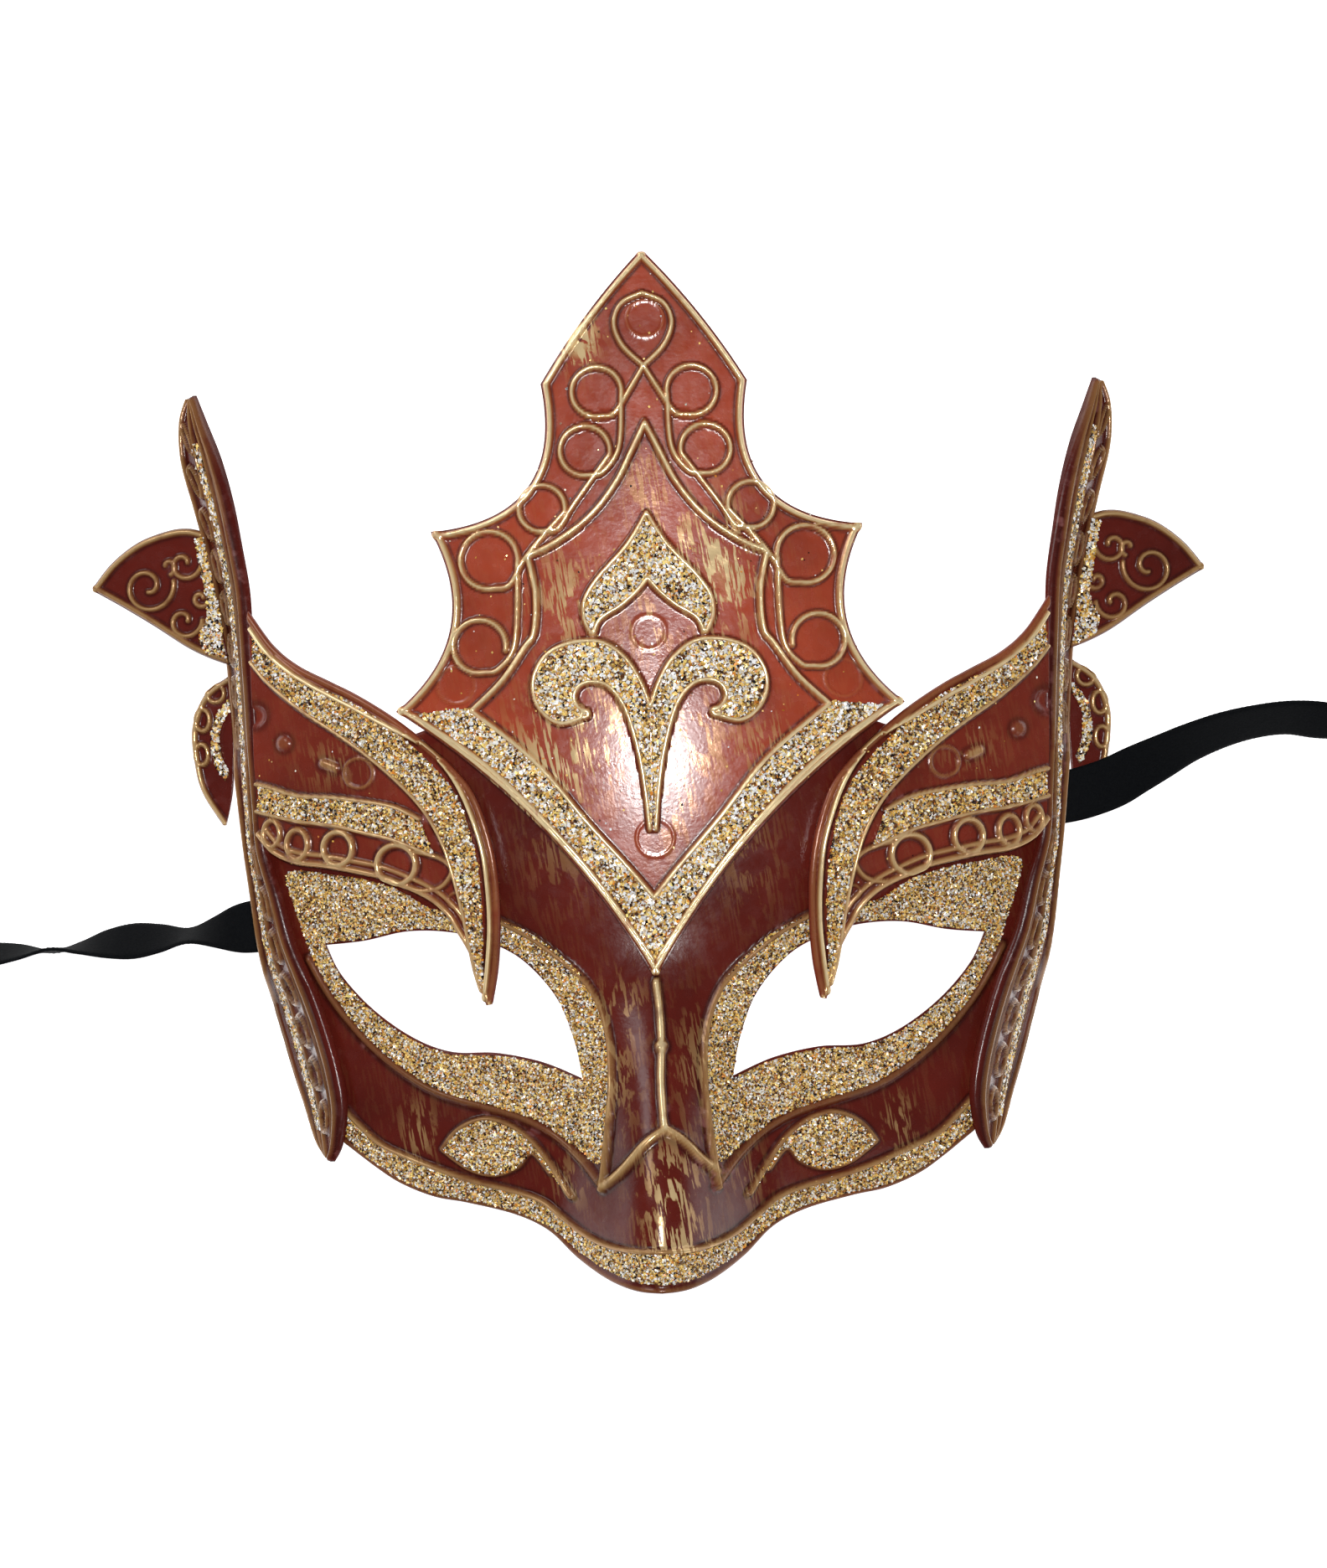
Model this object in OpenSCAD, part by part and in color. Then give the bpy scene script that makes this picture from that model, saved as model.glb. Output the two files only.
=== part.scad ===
// Venetian masquerade half mask, lying on its back with the face up (+Z) and the crest towards +Y.
// A moulded face shell carries a leaf-shaped crest, two brow wings, two sickle side blades with
// fins, glitter laid into the recesses, and a ribbon tie at each side.

/* [Shell] */
// Wall of the face shell, measured along Z
face_wall = 2.2; // [1.6:0.1:2.6]
// Wall of the crest plate, measured along Z
crest_wall = 2.2; // [1.6:0.1:2.6]
// Wall of the side blades, measured along X
blade_wall = 2; // [1.4:0.1:2.2]
// Wall of the small fins
fin_wall = 1.6; // [1.2:0.1:1.8]
// Height of the brow above the table
brow_h = 52; // [48:1:56]
// How far the nose stands out from the face
nose_h = 24; // [18:1:28]

/* [Glitter] */
// Thickness of the glitter layers
glitter_t = 0.5; // [0.3:0.1:0.8]

/* [Ties] */
// Width of the ribbon
ribbon_w = 9.5; // [8:0.5:10]
// Thickness of the ribbon
ribbon_t = 0.8; // [0.6:0.1:1.2]

/* [Part] */
// Which node to draw

/* [Hidden] */

plastic = [0.36, 0.13, 0.11];
crest_plastic = [0.5, 0.24, 0.2];
glitter = [0.72, 0.58, 0.36];
black = [0.05, 0.05, 0.06];

gap = 0.2;            // play between a laid-on piece and what it lies on
side_curve = 0.0048;  // how fast the face falls away to the sides
rake_curve = 0.0012;  // how fast it falls away up and down
rake_y = -10;         // height on the face where it stands furthest forward

// ---- Curves: a smooth line through a few points, cut into equal steps ----
function between(a, b, t) = a + (b - a) * t;
function ease(t) = let (c = max(0, min(1, t))) c * c * (3 - 2 * c);
function bump(v, w) = exp(-pow(v / w, 2));
function spline(a, b, c, d, t) =
    0.5 * (2 * b + (c - a) * t + (2 * a - 5 * b + 4 * c - d) * t * t + (3 * b - a - 3 * c + d) * pow(t, 3));
function smooth_line(p, k = 6) = let (n = len(p) - 1) concat(
    [for (i = [0:n - 1], j = [0:k - 1])
        spline(p[max(i - 1, 0)], p[i], p[i + 1], p[min(i + 2, n)], j / k)],
    [p[n]]);
function run_lengths(p) = [
    for (i = 0, s = 0; i < len(p); s = s + (i + 1 < len(p) ? norm(p[i + 1] - p[i]) : 0), i = i + 1) s];
function column(p, s, k) = [for (i = [0:len(p) - 1]) [s[i], p[i][k]]];
function cut(p, n) = let (s = run_lengths(p), total = s[len(s) - 1], dims = len(p[0]),
        tables = [for (k = [0:dims - 1]) column(p, s, k)])
    [for (i = [0:n]) [for (k = [0:dims - 1]) lookup(total * i / n, tables[k])]];
function along(p, n) = cut(smooth_line(p), n);
function tail(p) = [for (i = [1:len(p) - 1]) p[i]];
function joined(a, b) = concat(a, tail(b));
// A half line that starts on the middle plane, and its mirror image, as one line
function both(p) = concat([for (i = [len(p) - 1:-1:1]) [-p[i].x, p[i].y]], p);
// An arc from a to b that stands s away from the chord at its middle
function bow(a, b, s, n) = let (d = b - a, m = (a + b) / 2 + 2 * s * [-d.y, d.x] / norm(d))
    [for (i = [0:n]) let (t = i / n) a * pow(1 - t, 2) + m * 2 * t * (1 - t) + b * t * t];

// Keeps a line just to the right of the middle plane
function right_of(p) = [for (q = p) [max(q.x, 0.1), q.y]];

// ---- Solids: a sheet between two grids of points ----
function rule(a, b, n) = [for (j = [0:n]) [for (i = [0:len(a) - 1]) between(a[i], b[i], j / n)]];
function flat_points(g) = [for (r = g, p = r) p];
function turned(g) = let (i = floor(len(g) / 2), j = floor(len(g[0]) / 2),
        u = g[i][j] - g[i - 1][j], v = g[i][j] - g[i][j - 1])
    cross([u.x, u.y, u.z], [v.x, v.y, v.z]);
function quad(a, b, c, d) = [[a, b, c], [a, c, d]];
function flip(f) = [for (t = f) [t[2], t[1], t[0]]];
function skin_faces(r, c, start, wrap) = [
    for (i = [0:r - 2], j = [0:c - (wrap ? 1 : 2)]) let (k = (j + 1) % c)
        each quad(start + i * c + j, start + i * c + k, start + (i + 1) * c + k, start + (i + 1) * c + j)];
function wall_faces(a, b) = [for (i = [0:len(a) - 2]) each quad(a[i], b[i], b[i + 1], a[i + 1])];

// top and under are grids of the same size; wrap closes each row into a ring
module sheet(top, under, wrap = false) {
    r = len(top);
    c = len(top[0]);
    n = r * c;
    row0 = [for (j = [0:c - (wrap ? 0 : 1)]) j % c];
    row1 = [for (j = row0) (r - 1) * c + j];
    col0 = [for (i = [0:r - 1]) i * c];
    col1 = [for (i = [0:r - 1]) i * c + c - 1];
    lower = function (list) [for (i = list) i + n];
    faces = concat(
        skin_faces(r, c, 0, wrap),
        flip(skin_faces(r, c, n, wrap)),
        wall_faces(row0, lower(row0)),
        flip(wall_faces(row1, lower(row1))),
        wrap ? [] : flip(wall_faces(col0, lower(col0))),
        wrap ? [] : wall_faces(col1, lower(col1)));
    outward = turned(top) * (top[floor(r / 2)][0] - under[floor(r / 2)][0]) > 0;
    polyhedron(concat(flat_points(top), flat_points(under)), outward ? faces : flip(faces), 10);
}

// ---- The face: height of the shell's outer surface over the table ----
function nose_z(x, y) = let (t = max(0, min(1, (-26 - y) / 60)))
    nose_h * ease(t) * bump(x, 8 + 7 * t);
function socket_z(x, y) = 4 * bump(abs(x) - 36, 20) * bump(y + 38, 14);
function cheek_z(x, y) = 2 * bump(abs(x) - 34, 15) * bump(y + 66, 10);
function face_z(x, y) = brow_h - side_curve * x * x - rake_curve * pow(y - rake_y, 2)
    + nose_z(x, y) - socket_z(x, y) + cheek_z(x, y);
function crest_z(x, y) = face_z(x, y) + gap + crest_wall + 0.1 + 0.0006 * x * x + 0.0006 * pow(max(0, y), 2);
function drape(g, lift) = [for (r = g) [for (p = r) [p.x, p.y, face_z(p.x, p.y) + lift]]];
function crest_drape(g, lift) = [for (r = g) [for (p = r) [p.x, p.y, crest_z(p.x, p.y) + lift]]];

// ---- Face shell with its two eye holes ----
eye_inner = [13, -52.4];
eye_outer = [58, -28.9];
eye_top = [eye_inner, [14.3, -46], [17.2, -38.6], [22.2, -32.6], [27.4, -29.3], [34.7, -27], [43, -26.6], [51, -28.2],
    eye_outer];
eye_bottom = [eye_inner, [20, -49.6], [28, -48], [36, -47.8], [43, -45.2], [50, -40.2], [55.4, -34.2], eye_outer];
seam_mid = [[0, -50], [6.5, -50.8], eye_inner];
seam_side = [eye_outer, [63.6, -25]];
shell_top = [[0, 14], [10, 13], [20, 12], [30, 10.5], [38, 8.8], [43, 7.8], [48, 11.5], [54, 15], [61, 19], [68.6, 26.8]];
shell_brow = [[0, -16], [12, -16], [24, -13], [36, -10], [48, -8], [58, -6], [67.2, -3]];
shell_cheek = [[0, -69], [7, -69], [14, -66.5], [25, -62], [36, -60], [45, -57], [50, -53], [55.4, -47]];
shell_low = [[0, -87.9], [4.6, -87.5], [9.4, -85.9], [14.4, -82.9], [19.3, -78.7], [25.3, -76], [33.6, -74],
    [39.4, -73], [45.2, -70.8], [49.7, -68], [54, -64.2]];
mid_cols = 5;
eye_cols = 17;
side_cols = 2;
half_cols = mid_cols + eye_cols + side_cols;

function seam(lid) = both(joined(joined(along(seam_mid, mid_cols), along(lid, eye_cols)), cut(seam_side, side_cols)));
function across(p) = both(along(p, half_cols));

module base_shell() {
    upper = concat(rule(across(shell_top), across(shell_brow), 5), tail(rule(across(shell_brow), seam(eye_top), 6)));
    under = concat(rule(seam(eye_bottom), across(shell_cheek), 5), tail(rule(across(shell_cheek), across(shell_low), 6)));
    c = 2 * half_cols + 1;
    ru = len(upper);
    rl = len(under);
    size = (ru + rl) * c;
    points = concat(flat_points(drape(upper, 0)), flat_points(drape(under, 0)));
    back = [for (p = points) p - [0, 0, face_wall]];
    start = ru * c;
    lid = (ru - 1) * c;
    // The columns of each eye hole, from corner to corner
    holes = [[side_cols, side_cols + eye_cols], [half_cols + mid_cols, half_cols + mid_cols + eye_cols]];
    skin = concat(skin_faces(ru, c, 0, false), skin_faces(rl, c, start, false));
    top_row = [for (j = [0:c - 1]) j];
    low_row = [for (j = [0:c - 1]) start + (rl - 1) * c + j];
    down = function (list) [for (i = list) i + size];
    side = function (j) concat([for (i = [0:ru - 1]) i * c + j], [for (i = [0:rl - 1]) start + i * c + j]);
    lid_row = function (h, s) [for (j = [h[0]:h[1]]) s + j];
    faces = concat(
        skin,
        flip([for (t = skin) [t[0] + size, t[1] + size, t[2] + size]]),
        wall_faces(top_row, down(top_row)),
        flip(wall_faces(low_row, down(low_row))),
        flip(wall_faces(side(0), down(side(0)))),
        wall_faces(side(c - 1), down(side(c - 1))),
        [for (h = holes) each flip(wall_faces(lid_row(h, lid), down(lid_row(h, lid))))],
        [for (h = holes) each wall_faces(lid_row(h, start), down(lid_row(h, start)))]);
    color(plastic) polyhedron(concat(points, back), faces, 10);
}

// ---- Crest: a pointed leaf with scalloped sides ----
crest_tip = [0.4, 90.7];
crest_shoulder = [17.9, 67.9];
crest_corner = [37.5, 42.8];
crest_elbow = [44.2, 11.7];
crest_foot = [0.4, -34.7];
crest_edge = joined(joined(joined(bow(crest_tip, crest_shoulder, 0.8, 6), bow(crest_shoulder, crest_corner, -9, 8)),
    bow(crest_corner, crest_elbow, -6.6, 8)), bow(crest_elbow, crest_foot, -4, 10));
crest_cols = 8;

module crest_plate() {
    rows = [for (p = crest_edge) [for (j = [-crest_cols:crest_cols]) [p.x * j / crest_cols, p.y]]];
    color(crest_plastic) sheet(crest_drape(rows, 0), crest_drape(rows, -crest_wall));
}

// A layer of glitter on the crest between two lines
module crest_layer(a, b, n) {
    g = rule(a, b, n);
    color(glitter) sheet(crest_drape(g, gap + glitter_t), crest_drape(g, gap));
}

// A layer of glitter on the face between two lines, lift above it
module face_layer(a, b, n, lift = 0) {
    g = rule(a, b, n);
    color(glitter) sheet(drape(g, lift + gap + glitter_t), drape(g, lift + gap));
}

vee_low = [[0, -31.6], [5.2, -23.6], [12, -14.3], [21.6, -3.6], [30.2, 4.2], [40.4, 11.2]];
vee_high = [[0, -21.4], [4.7, -15.8], [10, -9.3], [17, -1.2], [24.5, 6.3], [31.4, 12]];

module crest_v_glitter() crest_layer(both(along(vee_low, 14)), both(along(vee_high, 14)), 2);

flame_out = [[0, 45], [3.3, 39.6], [8.4, 34], [10.8, 30.2], [11, 27], [9.9, 24.4]];
flame_in = [[0, 33.8], [2, 31.4], [4.8, 29], [7, 27.7], [8.6, 26.4], [9.4, 24.4]];

module fleur_flame_glitter() crest_layer(both(along(flame_out, 10)), both(along(flame_in, 10)), 2);

// The scroll's inner and outer edge, point for point
scroll_in = [[0.5, -9.4], [1.1, -3], [1.9, 2.6], [3, 7.4], [4.4, 11.6], [6.2, 14.4], [8.2, 15.8], [10.6, 16],
    [12.2, 15.2], [13, 13.8], [12.9, 12.6], [12.3, 11.7], [11.7, 11.2], [11.1, 10.9]];
scroll_out = [[0.2, -9.6], [0.1, -2], [0.1, 5], [0.1, 11.6], [1.6, 15.8], [4.2, 20], [8, 22.7], [12.6, 22.9],
    [16.8, 21.4], [19.3, 18.4], [20, 14.8], [18.6, 11.2], [15.4, 9], [11.3, 10]];

module fleur_scroll_glitter() crest_layer(right_of(smooth_line(scroll_in, 2)), right_of(smooth_line(scroll_out, 2)), 2);

// ---- Brow wings: from the temple to a claw over the eye ----
wing_t = 2.8;
wing_high = [[70, 29.6], [66.4, 24.2], [61.8, 20.4], [56, 17.4], [51, 14.8], [45, 11], [39.4, 6.6], [34.4, 2],
    [30.6, -3], [28, -10.5], [26.8, -18], [26.7, -26], [27.2, -33], [28.4, -39.4]];
wing_low = [[67, -10.8], [66.2, -13], [63.2, -14.6], [57.4, -15.4], [52, -16.4], [47.6, -17.4], [42.8, -19.3],
    [38.8, -21.4], [36, -24], [34.6, -26.4], [33.3, -28.6], [31.9, -31.5], [31, -35], [29.4, -39.6]];

module brow_wing() {
    g = rule(smooth_line(wing_high, 2), smooth_line(wing_low, 2), 6);
    top = drape(g, gap + wing_t);
    under = [for (r = g) [for (p = r) [p.x, p.y, face_z(p.x, p.y) + gap + 0.9 * ease((-17 - p.y) / 5)]]];
    color(plastic) sheet(top, under);
}

band_out = [[66.8, 22.4], [61, 17.8], [55, 15], [49, 11.6], [43, 7], [37.4, 1.6], [33.4, -4], [31, -12],
    [30, -19], [29.8, -26], [30, -32], [29.6, -37]];
band_in = [[67, 17.4], [61, 12.4], [55, 8.4], [49, 4], [43.4, -1], [39.4, -5.6], [36.4, -11], [34.6, -16.6],
    [33.2, -22.6], [32.2, -28], [31.3, -33], [30.2, -37]];
strip_high = [[67.2, -1], [62, -2.6], [56, -3], [50, -3.8], [44.6, -4.9], [40.4, -7]];
strip_low = [[67.2, -5.8], [62, -7], [56, -7.8], [50, -9.2], [44.6, -10.6], [38, -13.4]];

module brow_upper_glitter() face_layer(along(band_out, 20), along(band_in, 20), 2, gap + wing_t);
module brow_lower_glitter() face_layer(along(strip_high, 10), along(strip_low, 10), 2, gap + wing_t);

// ---- Side blades: a tall spike above and a sickle below, standing on the table ----
// [y, x of the inner edge, x of the outer edge, height of the lower rim]
blade_lines = [
    [69.8, 81.2, 81.7, 11], [65, 79.8, 83.2, 9], [58, 77.4, 83, 6], [50, 75.2, 81.2, 3], [42, 73.6, 79.4, 0],
    [34, 72.2, 77.8, 0], [26, 71.6, 76.4, 0], [16, 71, 75.6, 0], [8, 70.6, 75, 1], [2, 70.2, 74.4, 8], [-4, 69.8, 73.8, 8.6],
    [-12, 69.2, 73, 8.6], [-20, 67, 72, 8.6], [-28, 65, 71, 8.6], [-34, 62.8, 70, 7], [-40, 60.6, 68.8, 0],
    [-46, 58.7, 67.2, 0], [-52, 57.2, 65.4, 2], [-58, 56.4, 63.2, 6], [-64, 56.9, 61, 11], [-67, 57.9, 59, 14]];
blade_lip = 0.6;  // thickness at the blade's points
blade_knee = 7;  // height of the bend above the lower rim, less where the blade is shallow

function blade_at(s, f) = let (top = face_z(s[1], s[0]) + gap + wing_t,
        knee = s[3] + min(blade_knee, (top - s[3]) / 2))
    f < 0.8 ? [between(s[1], s[2], f / 0.8), s[0], between(top, knee, f / 0.8)]
    : [between(s[2], s[2] + 0.6, (f - 0.8) / 0.2), s[0], between(knee, s[3], (f - 0.8) / 0.2)];
blade_rows = smooth_line(blade_lines, 2);
// The glitter runs high on the spike and lower down on the sickle
function blade_strip(y) = let (t = ease((10 - y) / 40)) [0.2 + 0.25 * t, 0.38 + 0.2 * t];
blade_steps = [0, 0.16, 0.32, 0.48, 0.64, 0.8, 1];

module side_blade() {
    top = [for (s = blade_rows) [for (f = blade_steps) blade_at([s[0], s[1], s[2], max(0, s[3])], f)]];
    thick = [for (s = blade_rows) min(blade_wall, blade_lip + (s[2] - s[1]) * 0.18)];
    under = [for (i = [0:len(top) - 1]) [for (p = top[i]) p - [thick[i], 0, 0]]];
    color(plastic) sheet(top, under);
}

module blade_glitter() {
    rows = [for (i = [2:len(blade_rows) - 3]) blade_rows[i]];
    line = function (out) [for (s = rows) let (f = blade_strip(s[0])) [for (t = [0, 0.5, 1])
        blade_at(s, between(f[0], f[1], t)) + [out, 0, 0]]];
    color(glitter) sheet(line(0.2 + glitter_t), line(0.2));
}

// ---- Fins outside the blades ----
fan_high = [[80.8, 45.8], [83.4, 46.4], [87, 46.1], [92.6, 44.2], [98, 41], [102.2, 36.9]];
fan_low = [[76.2, 21.4], [79.6, 22.6], [84, 24.8], [90, 28.8], [96.4, 33], [102, 36.3]];
fan_root = 9;
crescent_out = [[77, 19.4], [81.4, 16.2], [83.8, 10.4], [83.6, 4.4], [82.2, -1.6], [78.4, -7.7]];
crescent_in = [[76.5, 18.4], [76.3, 13], [76, 8], [76.2, 3], [76.6, -2], [77.8, -7.7]];
crescent_root = 4.2;
fin_slope = 0.24;

function fin_drape(g, root, lift) = [for (r = g) [for (p = r) [p.x, p.y, root - fin_slope * (p.x - 76) + lift]]];
module fin(a, b, n, root) {
    g = rule(a, b, n);
    color(plastic) sheet(fin_drape(g, root, 0), fin_drape(g, root, -fin_wall));
}
module fin_layer(a, b, root) {
    g = rule(a, b, 2);
    color(glitter) sheet(fin_drape(g, root, gap + glitter_t), fin_drape(g, root, gap));
}

module fan_fin() fin(along(fan_high, 10), along(fan_low, 10), 6, fan_root);
module fan_glitter() fin_layer(
    along([[80.5, 44.6], [79.3, 38], [77.8, 31], [77, 24], [76.7, 22.2]], 12),
    along([[82.2, 44.4], [81, 38], [80, 31], [81.6, 26.4], [80.4, 23.6]], 12), fan_root);
module crescent_fin() fin(along(crescent_out, 14), along(crescent_in, 14), 3, crescent_root);
module crescent_glitter() fin_layer(
    along([[76.8, 15.4], [79, 12.6], [80.2, 8.4], [79.6, 3.4], [77.8, 0.4]], 12),
    along([[76.7, 13.2], [78, 11.2], [78.7, 8], [78.2, 4.4], [77.1, 2]], 12), crescent_root);

// ---- Glitter on the face ----
eye_ring = [[8, -55], [8.2, -47], [10.2, -39.4], [14, -33.4], [20, -28.2], [26.6, -25], [33, -23.6], [39, -22.6],
    [45, -19.2], [51, -17.4], [57.4, -16.4], [62.6, -15.7], [65, -16.6], [64, -20.6], [62, -26.6], [60.4, -31],
    [58, -35.6], [54.6, -40.8], [49.6, -46.4], [43.6, -51.2], [37.4, -54.6], [31, -56.4], [25.4, -58], [20.4, -59.8],
    [16.6, -62.4], [13.4, -64.6], [10.4, -66.6], [8.8, -62]];
eye_loop = concat(
    [for (p = along(eye_top, 14)) p + [0, 0.4]],
    [for (p = along([for (i = [len(eye_bottom) - 1:-1:0]) eye_bottom[i]], 15)) p - [0, 0.4]]);

module eye_glitter() {
    n = len(eye_loop);
    ring = cut(smooth_line(concat(eye_ring, [eye_ring[0]]), 4), n);
    outer = [for (i = [0:n - 1]) ring[i]];
    g = rule(eye_loop, outer, 2);
    color(glitter) sheet(drape(g, gap + glitter_t), drape(g, gap), true);
}

cheek_high = [[15.2, -72.6], [18.6, -67.4], [22, -63.2], [26, -60.4], [30.4, -59.4], [34.8, -61.2], [37.6, -64.4]];
cheek_low = [[15.4, -73], [18.4, -71], [21, -68.6], [24.4, -68.6], [28.6, -69], [33, -68], [37.4, -64.9]];

module cheek_glitter() face_layer(along(cheek_high, 12), along(cheek_low, 12), 2);

border_high = [[0, -80.9], [7, -80.6], [12, -79.2], [16.8, -76.1], [21.6, -73], [33.5, -69.7], [42, -66.7],
    [48.4, -64], [52.4, -60.6]];
border_low = [[0, -87.3], [4.5, -86.9], [9.1, -85.3], [14, -82.3], [19, -78.1], [25.3, -75.4], [33.6, -73.4],
    [39.4, -72.4], [45, -70.2], [49.4, -67.5], [52.6, -64]];

module border_glitter() face_layer(both(along(border_high, 22)), both(along(border_low, 22)), 2);

// ---- Ribbon ties ----
// [x, y, z, turn about the run]: 0 lies flat, 90 stands on edge
ribbon_route_right = [
    [66, -6, 6.4, 0], [71, -6, 6.4, 0], [76, -5.4, 6.4, 0], [80, -4.4, 6, 5], [84, -3, 5, 10], [88, -1, 4, 20],
    [93, 1.4, 3.8, 32], [98, 3.8, 4, 42], [104, 6, 4.3, 48], [110, 7.4, 4.5, 52], [116, 8, 4.6, 52], [122, 7.4, 4.4, 48],
    [128, 6.5, 4.6, 60], [134, 5.8, 4.8, 80], [141, 5.2, 4.9, 90]];
ribbon_route_left = [
    [-66, -26, 6.4, 0], [-71, -26, 6.4, 0], [-75, -26.4, 6, 20], [-80, -27, 5.4, 55], [-85, -27.6, 5, 75],
    [-90, -28, 4.6, 60], [-95, -28.4, 4.4, 50], [-100, -28.8, 4.6, 60], [-105, -29.4, 4.9, 80], [-110, -29.8, 4.9, 95],
    [-116, -30, 4.9, 75], [-122, -30.4, 4.8, 66], [-128, -30.6, 4.9, 78], [-133, -30.8, 4.9, 86], [-138, -31, 4.9, 90]];
coil_inner = 19;   // radius of the coil's innermost turn
coil_step = 4.2;   // how much each turn grows
coil_turns = 1.8;
coil_centre_right = [152, -21.6];
coil_centre_left = [-149, -58];

// One side of the ribbon's flat eight-sided section, across its width and its thickness
section = [[-0.5, -0.3], [-0.45, -0.5], [0.45, -0.5], [0.5, -0.3], [0.5, 0.3], [0.45, 0.5], [-0.45, 0.5], [-0.5, 0.3]];
function route_points(r) = smooth_line(r, 2);
function heading(r, i) = let (d = r[min(i + 1, len(r) - 1)] - r[max(i - 1, 0)]) [d.x, d.y] / norm([d.x, d.y]);
function ribbon_ring(r, i) = let (h = heading(r, i), n = [-h.y, h.x], a = r[i][3])
    [for (q = section) let (u = q.x * ribbon_w * cos(a) - q.y * ribbon_t * sin(a),
            v = q.x * ribbon_w * sin(a) + q.y * ribbon_t * cos(a))
        [r[i].x + n.x * u, r[i].y + n.y * u, r[i].z + v]];

module ribbon(route) {
    r = route_points(route);
    n = len(r);
    k = len(section);
    rings = [for (i = [0:n - 1]) each ribbon_ring(r, i)];
    sides = [for (i = [0:n - 2], j = [0:k - 1]) let (m = (j + 1) % k)
        each quad(i * k + j, i * k + m, (i + 1) * k + m, (i + 1) * k + j)];
    caps = [for (j = [1:k - 2]) each [[0, j + 1, j], [(n - 1) * k, (n - 1) * k + j, (n - 1) * k + j + 1]]];
    color(black) polyhedron(rings, flip(concat(sides, caps)), 10);
}

// The rest of the ribbon, rolled up on its edge
module ribbon_coil(centre) {
    color(black) translate([centre.x, centre.y, 0.1]) rotate_extrude($fn = 48)
        translate([coil_inner - 1, 0]) square([coil_step * coil_turns + 2, ribbon_w]);
}

// Lug inside the blade that the ribbon's end is glued under
module ribbon_anchor(x, y) {
    color(plastic) translate([x, y, 9]) cube([5.2, 9, 4], center = true);
}

// Everything is drawn about the brow, then set down about the middle of the mask's length
centre_y = 1.4;
module set_down() translate([0, -centre_y, 0]) children();
module left() mirror([1, 0, 0]) children();

set_down() base_shell();
set_down() crest_plate();
set_down() crest_v_glitter();
set_down() fleur_flame_glitter();
set_down() left() fleur_scroll_glitter();  // fleur_scroll_glitter_left
set_down() fleur_scroll_glitter();  // fleur_scroll_glitter_right
set_down() left() brow_wing();  // brow_wing_left
set_down() brow_wing();  // brow_wing_right
set_down() left() brow_upper_glitter();  // brow_upper_glitter_left
set_down() brow_upper_glitter();  // brow_upper_glitter_right
set_down() left() brow_lower_glitter();  // brow_lower_glitter_left
set_down() brow_lower_glitter();  // brow_lower_glitter_right
set_down() left() side_blade();  // side_blade_left
set_down() side_blade();  // side_blade_right
set_down() left() blade_glitter();  // blade_glitter_left
set_down() blade_glitter();  // blade_glitter_right
set_down() left() fan_fin();  // fan_fin_left
set_down() fan_fin();  // fan_fin_right
set_down() left() fan_glitter();  // fan_glitter_left
set_down() fan_glitter();  // fan_glitter_right
set_down() left() crescent_fin();  // crescent_fin_left
set_down() crescent_fin();  // crescent_fin_right
set_down() left() crescent_glitter();  // crescent_glitter_left
set_down() crescent_glitter();  // crescent_glitter_right
set_down() left() eye_glitter();  // eye_glitter_left
set_down() eye_glitter();  // eye_glitter_right
set_down() left() cheek_glitter();  // cheek_glitter_left
set_down() cheek_glitter();  // cheek_glitter_right
set_down() border_glitter();
set_down() ribbon_anchor(-65.4, -26);  // ribbon_anchor_left
set_down() ribbon_anchor(68.4, -6);  // ribbon_anchor_right
set_down() ribbon(ribbon_route_left);  // ribbon_left
set_down() ribbon(ribbon_route_right);  // ribbon_right
set_down() ribbon_coil(coil_centre_left);  // ribbon_coil_left
set_down() ribbon_coil(coil_centre_right);  // ribbon_coil_right
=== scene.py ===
"""Looks for the venetian half mask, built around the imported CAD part.

Each moulding is a grid of points on the CAD part's own surface, lifted into beads, rings and scrolls.
Glitter is a bed with loose flakes thrown over it. The two ribbons are cords.
"""
import bpy
import math
import numpy as np
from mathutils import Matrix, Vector
from mathutils.kdtree import KDTree


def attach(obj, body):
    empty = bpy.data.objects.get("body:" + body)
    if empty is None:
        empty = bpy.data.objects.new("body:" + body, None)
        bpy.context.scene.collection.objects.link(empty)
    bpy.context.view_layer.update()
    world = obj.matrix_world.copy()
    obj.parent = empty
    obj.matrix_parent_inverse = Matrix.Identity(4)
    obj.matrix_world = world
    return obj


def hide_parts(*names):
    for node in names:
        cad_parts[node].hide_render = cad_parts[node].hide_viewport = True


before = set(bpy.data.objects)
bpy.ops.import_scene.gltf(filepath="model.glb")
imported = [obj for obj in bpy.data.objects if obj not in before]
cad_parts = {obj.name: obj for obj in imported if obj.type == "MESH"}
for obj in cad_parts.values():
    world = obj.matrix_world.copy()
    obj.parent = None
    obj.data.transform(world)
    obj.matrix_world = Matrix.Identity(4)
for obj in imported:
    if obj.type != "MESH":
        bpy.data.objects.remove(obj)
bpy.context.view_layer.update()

MM = 0.001
CENTRE_Y = 1.4       # mm, the drawing's origin stands this far below the middle of the mask
GAP = 0.2            # mm, play under a laid-on piece
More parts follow.
